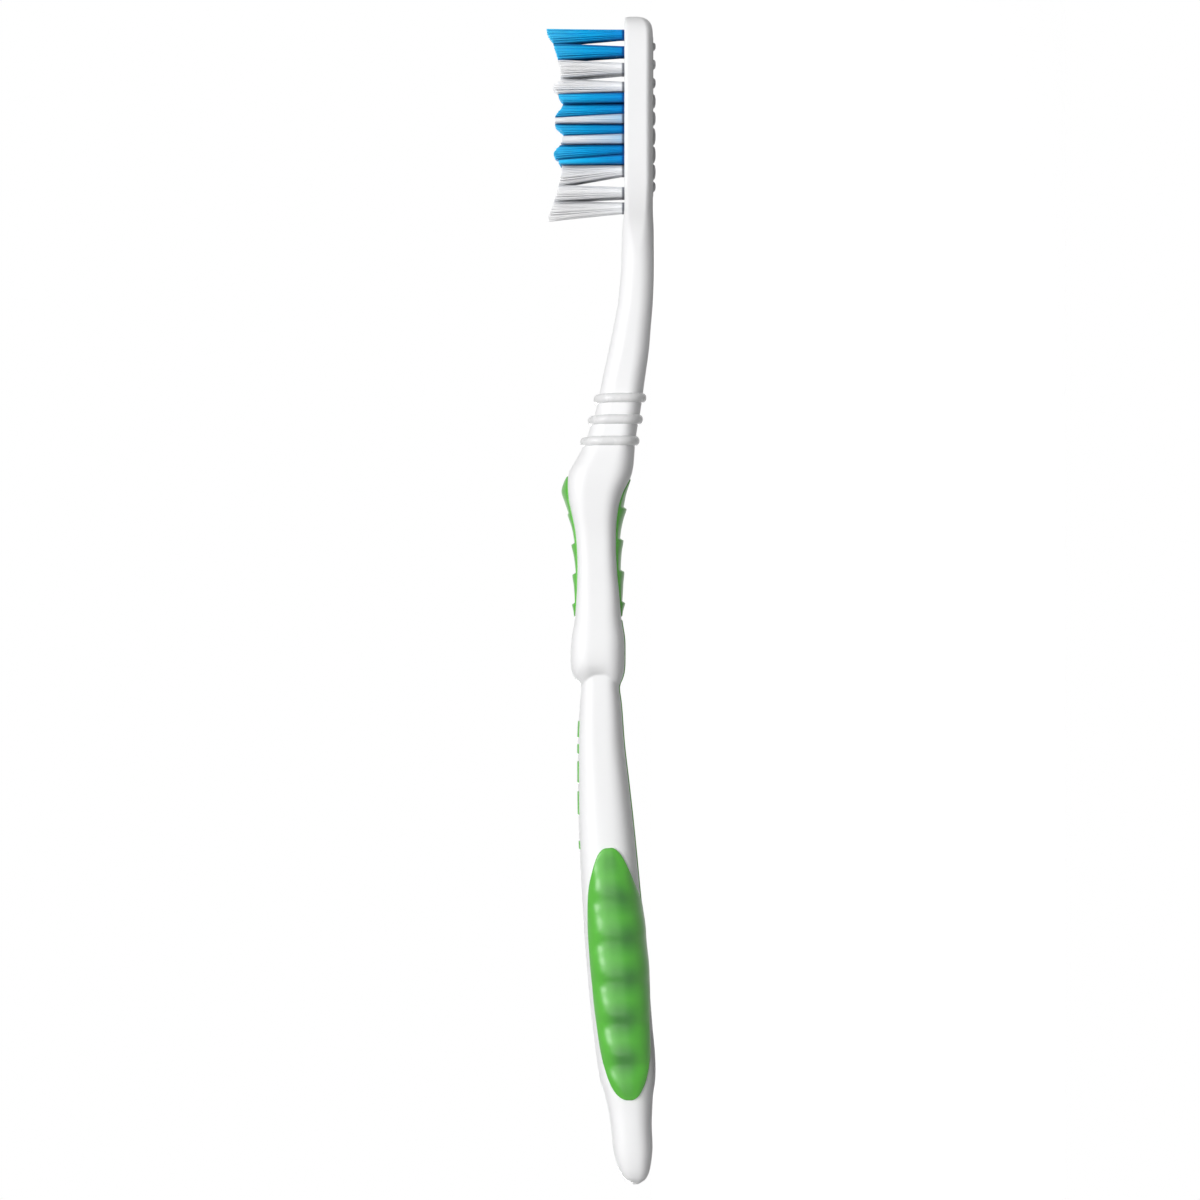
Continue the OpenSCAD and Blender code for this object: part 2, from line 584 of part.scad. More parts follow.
// Tongue cleaner: a pad with round ends, let into the head's back, and ribs across it
cleaner_r = cleaner_w / 2;
module cleaner_outline() {
    translate([brush_l / 2 - cleaner_start - cleaner_r, 0]) circle(r = cleaner_r, $fn = round_fn);
    translate([brush_l / 2 - cleaner_start - cleaner_l + cleaner_r, 0]) circle(r = cleaner_r, $fn = round_fn);
    translate([brush_l / 2 - cleaner_start - cleaner_l + cleaner_r, -cleaner_r])
        square([cleaner_l - cleaner_w, cleaner_w]);
}
rib_shares = [[0.04, 0.082], [0.15, 0.196], [0.265, 0.315], [0.365, 0.442], [0.473, 0.55],
    [0.575, 0.672], [0.69, 0.785], [0.803, 0.89], [0.91, 0.968]];
// Half the width of the cleaner at a distance from its end
function cleaner_half(d) =
    d < cleaner_r ? sqrt(cleaner_r * cleaner_r - pow(cleaner_r - d, 2)) :
    d > cleaner_l - cleaner_r ? sqrt(cleaner_r * cleaner_r - pow(d - cleaner_l + cleaner_r, 2)) :
    cleaner_r;
module rib(ends) {
    low = cleaner_l * ends[0];
    high = cleaner_l * ends[1];
    r = (high - low) / 2;
    half = min(cleaner_half(low), cleaner_half(high)) - rib_rim - r;
    translate([brush_l / 2 - cleaner_start - low - r, 0]) {
        for (side = [-1, 1]) translate([0, side * half]) circle(r = r, $fn = round_fn);
        translate([-r, -half]) square([2 * r, 2 * half]);
    }
}

// A tuft's hole with the slit that its anchor bites, and the anchor's own place
anchor_z = head_top - hole_depth + fold_web;
module anchor_plate(grow) {
    translate([-anchor_t / 2 - grow, -anchor_l / 2 - grow, anchor_z - grow])
        cube([anchor_t + 2 * grow, anchor_l + 2 * grow, anchor_h + 2 * grow]);
}
module tuft_place(r, c) translate([brush_l / 2 - row_s(r), tuft_y(r, c), 0]) children();
module tuft_socket() {
    translate([0, 0, head_top - hole_depth]) cylinder(r = hole_r, h = hole_depth + cut_over, $fn = round_fn);
    anchor_plate(0);
}

// A bristle: a four-sided prism that leans from its root to its tip
module strand(root, tip) {
    corners = [for (i = [0:3]) strand_r * [cos(90 * i), sin(90 * i), 0]];
    polyhedron(
        points = concat([for (q = corners) root + q], [for (q = corners) tip + q]),
        faces = concat(
            [[0, 1, 2], [0, 2, 3], [4, 6, 5], [4, 7, 6]],
            [for (i = [0:3]) let (j = (i + 1) % 4) each [[i, i + 4, j], [j, i + 4, j + 4]]]
        )
    );
}

module handle_core() color("#fafafa") {
    difference() {
        loft([for (s = stations) ring(s)]);
        for (r = [0:row_count - 1]) for (c = [0:row_shares[r][1] - 1]) tuft_place(r, c) tuft_socket();
        translate([0, 0, head_back - cut_over])
            linear_extrude(cut_over + cleaner_root) cleaner_outline();
        for (k = [0:ring_count - 1]) neck_ring_solid(k);
        thumb_pad_solid();
        finger_pad_solid();
        spine_strip_solid();
        palm_grip_solid(1);
        palm_grip_solid(-1);
        front_mark_solids();
    }
}

module tongue_cleaner() color("#e6e8ec") {
    translate([0, 0, head_back]) linear_extrude(cleaner_root) cleaner_outline();
    for (ends = rib_shares) linear_extrude(rib_h + cleaner_root / 2) rib(ends);
}

module neck_ring(k) color("#e4e4e4") neck_ring_solid(k);
module thumb_pad() color("#55b63c") thumb_pad_solid();
module finger_pad() color("#55b63c") finger_pad_solid();
module spine_strip() color("#55b63c") spine_strip_solid();
module palm_grip(side) color("#55b63c") palm_grip_solid(side);
module front_marks() color("#55b63c") front_mark_solids();

module tuft_anchors() color("#c9a44c") {
    for (r = [0:row_count - 1]) for (c = [0:row_shares[r][1] - 1]) tuft_place(r, c) anchor_plate(0);
}

module tuft(r, c) {
    reach_x = (tip_high(r) - tip_low(r)) / 2 - strand_r - play;
    reach_y = tuft_gap / 2 - strand_r - play;
    middle = row_s(r) - (tip_low(r) + tip_high(r)) / 2;
    root_z = head_top - strand_root;
    color(row_shares[r][2] == 1 ? "#0a8fd8" : "#f0f0f4") tuft_place(r, c) {
        difference() {
            translate([0, 0, head_top - hole_depth])
                cylinder(r = hole_r - play, h = hole_depth, $fn = round_fn);
            anchor_plate(play);
        }
        for (q = strand_roots) {
            spread = [middle + q[0] * reach_x / outer_circle_r, q[1] * reach_y / outer_circle_r];
            tip_l = curve(trim_rows, row_s(r) - spread[0]);
            lean = (spread - q) * (strand_root + tip_l) / (strand_root + tuft_l);
            strand([q[0], q[1], root_z], [q[0] + lean[0], q[1] + lean[1], head_top + tip_l]);
        }
    }
}

handle_core();
tongue_cleaner();
thumb_pad();
finger_pad();
spine_strip();
palm_grip(1);  // palm_grip_left
palm_grip(-1);  // palm_grip_right
front_marks();
tuft_anchors();
for (k = [0:ring_count - 1])
    neck_ring(k);
for (r = [0:row_count - 1]) for (c = [0:row_shares[r][1] - 1])
    tuft(r, c);
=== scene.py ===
import math
import random
from collections import namedtuple

import bmesh
import bpy
from mathutils import Matrix, Vector


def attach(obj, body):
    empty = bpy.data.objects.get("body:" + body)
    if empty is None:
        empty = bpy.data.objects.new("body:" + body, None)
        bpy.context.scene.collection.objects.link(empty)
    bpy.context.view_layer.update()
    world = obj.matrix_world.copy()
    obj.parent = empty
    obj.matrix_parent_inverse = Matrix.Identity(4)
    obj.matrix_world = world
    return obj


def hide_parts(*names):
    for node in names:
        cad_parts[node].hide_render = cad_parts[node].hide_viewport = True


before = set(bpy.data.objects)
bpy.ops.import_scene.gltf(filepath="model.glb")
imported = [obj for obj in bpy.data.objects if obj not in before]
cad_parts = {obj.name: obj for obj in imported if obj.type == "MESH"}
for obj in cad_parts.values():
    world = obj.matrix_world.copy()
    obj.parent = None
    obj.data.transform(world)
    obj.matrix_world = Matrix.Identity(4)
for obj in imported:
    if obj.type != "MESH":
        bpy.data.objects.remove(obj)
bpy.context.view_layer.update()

# The shapes follow the CAD source: millimetres, +X to the head's tip, +Z to the bristles, and
# places along the brush measured from the head's tip. Meshes are scaled to metres when made.
MM = 0.001
HEAD_L, NECK_L, GRIP_L, PALM_L, TAIL_L = 34.0, 40.7, 34.4, 64.6, 16.3
HEAD_W, HEAD_T, NECK_W, GRIP_W, PALM_W = 12.6, 4.63, 5.8, 12.6, 13.8
# The head's back edge is rounded to 1.25 mm up, against the solid's 1.8 mm, as in the photograph
HEAD_EDGE_R, HEAD_BACK_RY, HEAD_BACK_RZ = 0.6, 2.5, 1.25
CREST_H, WAIST_H, CREASE_BOW = 14.4, 6.7, 2.1
TUFT_L, HOLE_R, HOLE_DEPTH, HOLE_WALL = 12.8, 0.85, 3.4, 1.55
FIELD_START, FIELD_END = 2.9, 2.9
RING_HALF_L, RING_PROUD, RING_PITCH, RING_TO_CREST = 0.78, 0.68, 3.5, 5.6
RING_LEAN, RING_BOW = 0.13, 0.06
THUMB_L, THUMB_W, THUMB_BULGE, THUMB_NOSE_L = 23.0, 7.6, 0.85, 6.0
FINGER_L, FINGER_W, FINGER_BULGE, FINGER_NOSE_L = 22.4, 6.8, 0.55, 4.5
FINGER_START, TOOTH_H, PAD_STEP = 0.5, 0.55, 0.2
LOBE_START, LOBE_L, LOBE_STEP = 25.9, 41.0, 0.3
WAVE_H, WAVE_PITCH, WAVE_START = 0.7, 6.6, 12.9
STRIP_L, STRIP_W, STRIP_GAP, MARK_W = 49.5, 1.5, 1.7, 5.2
CLEANER_L, CLEANER_W, CLEANER_START = 26.0, 7.0, 3.2
RIB_H, RIB_RIM = 0.44, 0.3

NECK_S = HEAD_L
GRIP_S = NECK_S + NECK_L
CREASE_S = GRIP_S + GRIP_L
TAIL_S = CREASE_S + PALM_L
BRUSH_L = TAIL_S + TAIL_L
HEAD_BACK = RIB_H
HEAD_TOP = RIB_H + HEAD_T

# Camera: side on, the head end up in the picture and the bristles to the left
PHOTO_PX = 1200
PHOTO_MM_PER_PX = 0.16288
AIM_X, AIM_Z = 0.12, 9.06
CAMERA_Z = 0.6
LENS, SENSOR = 200.0, 36.0
CLIP_START, CLIP_END = 0.01, 50.0

# Light: ambient strength, and each sun's irradiance share, width and the way it shines from
AMBIENT = 0.05
KEY_SHARE, KEY_ANGLE, KEY_FROM = 1.12, 104.0, (0.16, -0.98, 0.0)
TOP_SHARE, TOP_ANGLE, TOP_FROM = 0.41, 28.0, (0.16, -0.7, 0.7)
BACK_SHARE, BACK_ANGLE, BACK_FROM = 0.8, 30.0, (-0.4, 0.91, 0.08)
# Floor: its grey, what it adds for rays that show the backdrop, its size and height in metres
FLOOR_BASE, FLOOR_LIFT, FLOOR_SIZE, FLOOR_Z = 0.22, 0.79, 8.0, -2e-5
FLOOR_ROUGH, FLOOR_SHINE = 0.9, 0.1


def make_camera():
    data = bpy.data.cameras.new("photo_camera")
    data.lens, data.sensor_width = LENS, SENSOR
    data.clip_start, data.clip_end = CLIP_START, CLIP_END
    camera = bpy.data.objects.new("photo_camera", data)
    bpy.context.scene.collection.objects.link(camera)
    aim = Vector((AIM_X, 0, AIM_Z)) * MM
    distance = PHOTO_PX * PHOTO_MM_PER_PX * MM * LENS / SENSOR
    rise = (CAMERA_Z - AIM_Z) * MM
    place = aim + Vector((0, -math.sqrt(distance**2 - rise**2), rise))
    look = (aim - place).normalized()
    up = Vector((1, 0, 0))
    right = look.cross(up)
    axes = Matrix((right, up, -look)).transposed().to_4x4()
    camera.matrix_world = Matrix.Translation(place) @ axes
    bpy.context.scene.camera = camera


make_camera()


# Curves and sections, as in the CAD source
def mix(low, high, share):
    return low + (high - low) * share


def zone(start, span, low, high, shares):
    return [(start + span * k, mix(low, high, v)) for k, v in shares]


def slope(rows, i):
    return (rows[i + 1][1] - rows[i][1]) / (rows[i + 1][0] - rows[i][0])


def tangent(rows, i):
    if i == 0:
        return slope(rows, 0)
    if i == len(rows) - 1:
        return slope(rows, i - 1)
    before, after = slope(rows, i - 1), slope(rows, i)
    return 0 if before * after <= 0 else 2 * before * after / (before + after)


def curve(rows, place):
    i = 0
    while i < len(rows) - 2 and place >= rows[i + 1][0]:
        i += 1
    span = rows[i + 1][0] - rows[i][0]
    t = max(0, min(1, (place - rows[i][0]) / span))
    return (
        rows[i][1] * (1 + 2 * t) * (1 - t) ** 2 + rows[i + 1][1] * t * t * (3 - 2 * t)
        + span * t * (1 - t) * (tangent(rows, i) * (1 - t) - tangent(rows, i + 1) * t)
    )


# Places along the brush with the height of its front and its back, and with half its width
FRONT_ROWS = (
    zone(0, HEAD_L, HEAD_BACK, HEAD_TOP, [(0, 0.9), (0.006, 0.975), (0.015, 1), (0.93, 1)])
    + zone(NECK_S, NECK_L, HEAD_TOP, CREST_H, [
        (0, 0.035), (0.17, 0.06), (0.3, 0.11), (0.39, 0.18), (0.49, 0.27), (0.58, 0.355),
        (0.64, 0.41), (0.74, 0.5), (0.82, 0.62), (0.88, 0.715), (0.935, 0.84), (0.965, 0.925),
        (1, 0.99)])
    + zone(GRIP_S, GRIP_L, 0, CREST_H, [
        (0.08, 0.992), (0.17, 0.96), (0.26, 0.916), (0.35, 0.897), (0.43, 0.889), (0.565, 0.896),
        (0.675, 0.91), (0.785, 0.953), (0.9, 0.962), (0.945, 0.932), (1, 0.84)])
    + zone(CREASE_S, PALM_L, 0, CREST_H, [
        (0.04, 0.855), (0.14, 0.877), (0.24, 0.876), (0.34, 0.869), (0.44, 0.85), (0.52, 0.833),
        (0.64, 0.799), (0.74, 0.764), (0.84, 0.719), (0.94, 0.663)])
    + zone(TAIL_S, TAIL_L, 0, CREST_H, [
        (0, 0.618), (0.08, 0.583), (0.24, 0.538), (0.4, 0.51), (0.64, 0.48), (0.72, 0.463),
        (0.8, 0.436), (0.88, 0.398), (0.955, 0.342), (1, 0.27)])
)
BACK_ROWS = (
    zone(0, HEAD_L, HEAD_BACK, HEAD_TOP, [
        (0, 0.42), (0.003, 0.32), (0.0085, 0.235), (0.019, 0.14), (0.042, 0.045), (0.075, 0),
        (0.95, 0)])
    + zone(NECK_S, NECK_L, HEAD_BACK, WAIST_H, [
        (0, -0.02), (0.17, -0.025), (0.3, 0), (0.39, 0.05), (0.49, 0.1), (0.58, 0.18),
        (0.64, 0.235), (0.74, 0.325), (0.82, 0.42), (0.89, 0.475), (0.935, 0.49), (0.97, 0.52),
        (1, 0.56)])
    + zone(GRIP_S, GRIP_L, 0, WAIST_H, [
        (0.08, 0.8), (0.17, 0.91), (0.26, 0.948), (0.35, 0.948), (0.43, 0.933), (0.565, 0.873),
        (0.675, 0.836), (0.785, 0.754), (0.9, 0.754), (0.945, 0.788), (1, 0.89)])
    + zone(CREASE_S, PALM_L, 0, WAIST_H, [
        (0.04, 0.842), (0.14, 0.769), (0.24, 0.657), (0.34, 0.549), (0.44, 0.452), (0.52, 0.379),
        (0.64, 0.254), (0.74, 0.164), (0.84, 0.088), (0.96, 0)])
    + zone(TAIL_S, TAIL_L, 0, WAIST_H, [
        (0, 0.015), (0.08, 0.06), (0.24, 0.08), (0.4, 0.095), (0.64, 0.07), (0.72, 0.09),
        (0.8, 0.115), (0.88, 0.155), (0.955, 0.255), (1, 0.42)])
)
PLAN_ROWS = (
    zone(0, HEAD_L, 0, HEAD_W / 2, [
        (0, 0.22), (0.012, 0.42), (0.035, 0.6), (0.065, 0.72), (0.11, 0.83), (0.18, 0.92),
        (0.27, 0.98), (0.37, 1), (0.62, 1), (0.76, 0.955), (0.85, 0.87), (0.93, 0.73)])
    + zone(NECK_S, NECK_L, NECK_W / 2, GRIP_W / 2, [
        (0, 0.22), (0.05, 0.11), (0.12, 0.03), (0.25, 0), (0.44, 0.06), (0.64, 0.235), (0.79, 0.5),
        (0.91, 0.79)])
    + zone(GRIP_S, GRIP_L, 0, PALM_W / 2, [
        (0, 0.92), (0.16, 0.87), (0.33, 0.79), (0.51, 0.79), (0.69, 0.86), (0.84, 0.93),
        (0.93, 0.9), (0.975, 0.8), (1, 0.7)])
    + zone(CREASE_S, PALM_L, 0, PALM_W / 2, [
        (0.015, 0.69), (0.08, 0.715), (0.17, 0.754), (0.33, 0.826), (0.48, 0.93), (0.64, 1),
        (0.76, 1), (0.88, 0.942), (0.975, 0.855)])
    + zone(TAIL_S, TAIL_L, 0, PALM_W / 2, [
        (0.26, 0.725), (0.63, 0.623), (0.82, 0.52), (0.94, 0.36), (1, 0.1)])
)
# Blend from the head's flat section, 0, to the handle's round one, 1
OVAL_ROWS = zone(0, HEAD_L, 0, 1, [(0, 0), (0.8, 0), (0.93, 0.2), (1.15, 1), (2, 1)])
# A round section's quarters: their width as a share of half the section's, and the front
# ones' height as a share of the section's
CORNER_ROWS = (
    zone(NECK_S, NECK_L, 0, 1, [(0, 0.88), (0.75, 0.88)])
    + zone(GRIP_S, GRIP_L, 0, 1, [(0, 0.7), (0.15, 0.62), (0.8, 0.62), (1, 0.75)])
    + zone(CREASE_S, PALM_L, 0, 1, [(0.2, 0.88), (1, 0.88)])
)
RISE_ROWS = (
    zone(NECK_S, NECK_L, 0, 1, [(0, 0.47), (0.25, 0.44), (0.6, 0.37), (0.85, 0.34)])
    + zone(GRIP_S, GRIP_L, 0, 1, [(0, 0.34), (0.5, 0.35), (0.9, 0.38)])
    + zone(CREASE_S, PALM_L, 0, 1, [
        (0.05, 0.38), (0.2, 0.41), (0.35, 0.46), (0.4, 0.47), (1, 0.47)])
)
# The most of the height that the head's rounding takes, in front and at the back
TIP_FRONT, TIP_BACK = 0.35, 0.6
# Power of a section's round quarters: 1 for an ellipse, less for a fuller and flatter one
FULL_ROWS = [(NECK_S + NECK_L * 0.6, 1), (GRIP_S, 0.86), (GRIP_S + GRIP_L * 0.5, 0.79),
             (CREASE_S, 0.84), (CREASE_S + PALM_L * 0.2, 0.81),
             (CREASE_S + PALM_L * 0.4, 0.77), (BRUSH_L, 0.77)]

# The profiles are blended along the brush, and less so near the tip, the crease and the end
BLEND_MM, BLEND_STEPS = 1.4, 5
END_BLEND, CREASE_BLEND, LEAST_BLEND_MM = 0.4, 0.5, 0.02


def soft(rows, s):
    reach = min(BLEND_MM, s * END_BLEND, abs(s - CREASE_S) * CREASE_BLEND,
                max(0, BRUSH_L - s) * END_BLEND)
    if reach < LEAST_BLEND_MM:
        return curve(rows, s)
    total = weight = 0
    for i in range(-BLEND_STEPS, BLEND_STEPS + 1):
        w = BLEND_STEPS + 1 - abs(i)
        total += w * curve(rows, s + reach * i / BLEND_STEPS)
        weight += w
    return total / weight


# A section: half its width, the heights of its front and back, its quarters' radii across and up,
# and the power of their curve
Section = namedtuple("Section", "half front back front_ry front_rz back_ry back_rz power")
section_memory = {}


def section(s):
    key = round(s, 5)
    if key not in section_memory:
        w, front, back = soft(PLAN_ROWS, s), soft(FRONT_ROWS, s), soft(BACK_ROWS, s)
        h, k = front - back, curve(OVAL_ROWS, s)
        corner, rise = w * soft(CORNER_ROWS, s), h * soft(RISE_ROWS, s)
        section_memory[key] = Section(
            w, front, back,
            mix(min(HEAD_EDGE_R, corner), corner, k),
            mix(min(HEAD_EDGE_R, h * TIP_FRONT), rise, k),
            mix(min(HEAD_BACK_RY, corner), corner, k),
            mix(min(HEAD_BACK_RZ, h * TIP_BACK), rise, k),
            curve(FULL_ROWS, s),
        )
    return section_memory[key]


def point(s, y, z):
    return (BRUSH_L / 2 - s, y, z)


def powers(turn, power):
    sin, cos = max(0, math.sin(math.radians(turn))), math.cos(math.radians(turn))
    return sin ** power, math.copysign(abs(cos) ** power, cos)


def rim(c, turn, in_front):
    """The point of a section's edge at a turn from straight ahead, in degrees."""
    sin, cos = powers(turn, c.power)
    if in_front:
        return (c.half - c.front_ry + c.front_ry * sin, c.front - c.front_rz + c.front_rz * cos)
    return (c.half - c.back_ry + c.back_ry * sin, c.back + c.back_rz + c.back_rz * cos)


def rim_normal(c, turn, in_front):
    sin, cos = powers(turn, 2 - c.power)
    n = (c.front_rz * sin, c.front_ry * cos) if in_front else (c.back_rz * sin, c.back_ry * cos)
    size = math.hypot(*n)
    return (n[0] / size, n[1] / size)


def quarter_height(off, reach, power):
    return max(0, 1 - (off / reach) ** (2 / power)) ** (power / 2)


def front_skin(s, y):
    c = section(s)
    off = max(0, abs(y) - c.half + c.front_ry)
    return c.front - c.front_rz + c.front_rz * quarter_height(off, c.front_ry, c.power)


def back_skin(s, y):
    c = section(s)
    off = max(0, abs(y) - c.half + c.back_ry)
    return c.back + c.back_rz - c.back_rz * quarter_height(off, c.back_ry, c.power)


# Mesh helpers
def mesh_of(name, verts, faces):
    mesh = bpy.data.meshes.new(name)
    mesh.from_pydata([tuple(v * MM for v in p) for p in verts], [], faces)
    mesh.validate()
    return mesh


def finish_piece(name, verts, faces, material, slot, replaced, sharp=None):
    mesh = mesh_of(name, verts, faces)
    mesh.shade_smooth()
    if sharp:
        mesh.set_sharp_from_angle(angle=math.radians(sharp))
    piece = bpy.data.objects.new(name, mesh)
    bpy.context.scene.collection.objects.link(piece)
    mesh.materials.append(material)
    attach(piece, "root")
    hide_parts(*replaced)
    return piece


def shell(outer, inner, turned=False):
    """A closed piece between two grids of points: the one that shows and its root."""
    n, m = len(outer), len(outer[0])
    size = n * m
    grid = [(i * m + j, i * m + j + 1, (i + 1) * m + j + 1, (i + 1) * m + j)
            for i in range(n - 1) for j in range(m - 1)]
    path = (list(range(m - 1)) + [i * m + m - 1 for i in range(n - 1)]
            + [(n - 1) * m + j for j in range(m - 1, 0, -1)] + [i * m for i in range(n - 1, 0, -1)])
    walls = [(after, here, here + size, after + size)
             for here, after in zip(path, path[1:] + path[:1])]
    faces = grid + [tuple(v + size for v in reversed(f)) for f in grid] + walls
    if turned:
        faces = [tuple(reversed(f)) for f in faces]
    return [p for row in outer for p in row] + [p for row in inner for p in row], faces


def tube(rings, closed=False):
    n, m = len(rings), len(rings[0])
    faces = [(i * m + j, i * m + (j + 1) % m, (i + 1) % n * m + (j + 1) % m, (i + 1) % n * m + j)
             for i in range(n if closed else n - 1) for j in range(m)]
    if not closed:
        faces += [tuple(reversed(range(m))), tuple((n - 1) * m + j for j in range(m))]
    return [p for ring in rings for p in ring], faces


def joined(parts):
    verts, faces = [], []
    for part_verts, part_faces in parts:
        start = len(verts)
        verts += part_verts
        faces += [tuple(v + start for v in f) for f in part_faces]
    return verts, faces


# Materials
def node(tree, kind, **sockets):
    made = tree.nodes.new(kind)
    for name, value in sockets.items():
        socket = made.inputs[name.replace("_", " ")]
        if isinstance(value, bpy.types.NodeSocket):
            tree.links.new(value, socket)
        else:
            socket.default_value = value
    return made


def noise(tree, coords, scale, detail=3.0, roughness=0.5):
    made = node(tree, "ShaderNodeTexNoise", Vector=coords, Scale=scale, Detail=detail,
                Roughness=roughness)
    return made.outputs["Fac"]


def ranged(tree, value, low, high, start=0.3, end=0.7):
    made = node(tree, "ShaderNodeMapRange", Value=value)
    for socket, number in zip(made.inputs[1:5], (start, end, low, high)):
        socket.default_value = number
    return made.outputs["Result"]


def blended(tree, factor, low, high):
    made = tree.nodes.new("ShaderNodeMix")
    made.data_type = "RGBA"
    tree.links.new(factor, made.inputs[0])
    for socket, value in zip(made.inputs[6:8], (low, high)):
        if isinstance(value, bpy.types.NodeSocket):
            tree.links.new(value, socket)
        else:
            socket.default_value = (*value, 1)
    return made.outputs[2]


# The gloss varies over smaller patches than the colour does
GLOSS_SCALE, GLOSS_DETAIL, GRAIN_DETAIL = 4, 5.0, 2.0


def plastic(name, low, high, patch, rough, grain, grain_depth, grain_strength, **constants):
    """Moulded plastic or elastomer: patches of colour, uneven gloss and a fine surface grain."""
    material = bpy.data.materials.new(name)
    material.use_nodes = True
    tree = material.node_tree
    shader = tree.nodes["Principled BSDF"]
    coords = node(tree, "ShaderNodeTexCoord").outputs["Object"]
    colour = blended(tree, ranged(tree, noise(tree, coords, patch), 0, 1), low, high)
    tree.links.new(colour, shader.inputs["Base Color"])
    gloss = ranged(tree, noise(tree, coords, patch * GLOSS_SCALE, GLOSS_DETAIL), *rough)
    tree.links.new(gloss, shader.inputs["Roughness"])
    bump = node(tree, "ShaderNodeBump", Height=noise(tree, coords, grain, GRAIN_DETAIL),
                Strength=grain_strength, Distance=grain_depth)
    tree.links.new(bump.outputs["Normal"], shader.inputs["Normal"])
    for socket, value in constants.items():
        shader.inputs[socket.replace("_", " ")].default_value = value
    return material


# Filaments: the shares of the longest one where the painted shade at the root ends and the painted
# light at the tip begins, the heights over the head plate where the painted dark line at the roots
# fades, and the streaks' and the grain's scale
PAINTED_ROOT_SHADE_END, PAINTED_TIP_LIGHT_START = 0.55, 0.5
LINE_FADE_START, LINE_FADE_END = 0.3, 0.5
STREAK_SCALE, NYLON_GRAIN, NYLON_GRAIN_DEPTH, NYLON_GRAIN_STRENGTH = 700.0, 9000.0, 0.00001, 0.1
NYLON_ROUGH = (0.4, 0.55)


def filament(name, dark, bright, painted_root_shade, painted_tip_light, painted_edge_shade, painted_line_shade, shine):
    """Drawn nylon, each filament its own tone; painted shade darkens a tuft's roots, its edges
    where rows meet and a line at the plate, and painted light brightens its tips.
    """
    material = bpy.data.materials.new(name)
    material.use_nodes = True
    tree = material.node_tree
    shader = tree.nodes["Principled BSDF"]
    shader.inputs["Specular IOR Level"].default_value = shine
    coords = node(tree, "ShaderNodeTexCoord").outputs["Object"]
    island = tree.nodes.new("ShaderNodeNewGeometry").outputs["Random Per Island"]
    own = blended(tree, island, dark, bright)
    height = node(tree, "ShaderNodeSeparateXYZ", Vector=coords).outputs["Z"]
    # Painted shade towards the roots and painted light towards the tips, by height
    climb = ranged(tree, height, 0, 1, HEAD_TOP * MM, (HEAD_TOP + TUFT_L * PAINTED_ROOT_SHADE_END) * MM)
    top = ranged(tree, height, 0, 1, (HEAD_TOP + TUFT_L * PAINTED_TIP_LIGHT_START) * MM,
                 (HEAD_TOP + TUFT_L) * MM)
    lengthways = blended(tree, top, blended(tree, climb, painted_root_shade, own), painted_tip_light)
    # Painted shade along a tuft's edges where the next row stands, from the points' edge values
    edge = tree.nodes.new("ShaderNodeAttribute")
    edge.attribute_name = "edge"
    # Painted shade: a dark line just over the head plate, where the bristles shade it
    line = ranged(tree, height, 1, 0, (HEAD_TOP + LINE_FADE_START) * MM,
                  (HEAD_TOP + LINE_FADE_END) * MM)
    outlined = blended(tree, edge.outputs["Fac"], lengthways, painted_edge_shade)
    tree.links.new(blended(tree, line, outlined, painted_line_shade), shader.inputs["Base Color"])
    streak = noise(tree, coords, STREAK_SCALE)
    tree.links.new(ranged(tree, streak, *NYLON_ROUGH), shader.inputs["Roughness"])
    bump = node(tree, "ShaderNodeBump", Height=noise(tree, coords, NYLON_GRAIN, GRAIN_DETAIL),
                Strength=NYLON_GRAIN_STRENGTH, Distance=NYLON_GRAIN_DEPTH)
    tree.links.new(bump.outputs["Normal"], shader.inputs["Normal"])
    return material


WHITE = plastic(
    "white_body", (0.915, 0.915, 0.92), (0.93, 0.93, 0.935), patch=45.0, rough=(0.36, 0.44),
    grain=1500.0, grain_depth=0.00001, grain_strength=0.05, Specular_IOR_Level=0.25)
GREEN = plastic(
    "green_grip", (0.075, 0.42, 0.025), (0.095, 0.48, 0.035), patch=160.0, rough=(0.28, 0.34),
    grain=7000.0, grain_depth=0.00002, grain_strength=0.07, Specular_IOR_Level=0.58)


def paint_shade(material, painted_shade_colour):
    """Painted shade: blend in a darker colour where a mesh's painted shade values are high."""
    tree = material.node_tree
    socket = tree.nodes["Principled BSDF"].inputs["Base Color"]
    hollow = tree.nodes.new("ShaderNodeAttribute")
    hollow.attribute_name = "hollow"
    tree.links.new(blended(tree, hollow.outputs["Fac"], socket.links[0].from_socket, painted_shade_colour), socket)


# The palm grips' green takes painted shade on the waves' falls
paint_shade(GREEN, painted_shade_colour=(0.035, 0.2, 0.025))
RING_GREY = plastic(
    "neck_rings", (0.77, 0.77, 0.775), (0.81, 0.81, 0.81), patch=120.0, rough=(0.24, 0.3),
    grain=3000.0, grain_depth=0.000002, grain_strength=0.05)
CLEANER_GREY = plastic(
    "tongue_cleaner", (0.84, 0.85, 0.87), (0.9, 0.91, 0.92), patch=400.0, rough=(0.4, 0.5),
    grain=8000.0, grain_depth=0.000005, grain_strength=0.12)
METAL = plastic(
    "anchors", (0.68, 0.5, 0.2), (0.76, 0.58, 0.27), patch=900.0, rough=(0.25, 0.4),
    grain=12000.0, grain_depth=0.000005, grain_strength=0.2, Metallic=1.0)
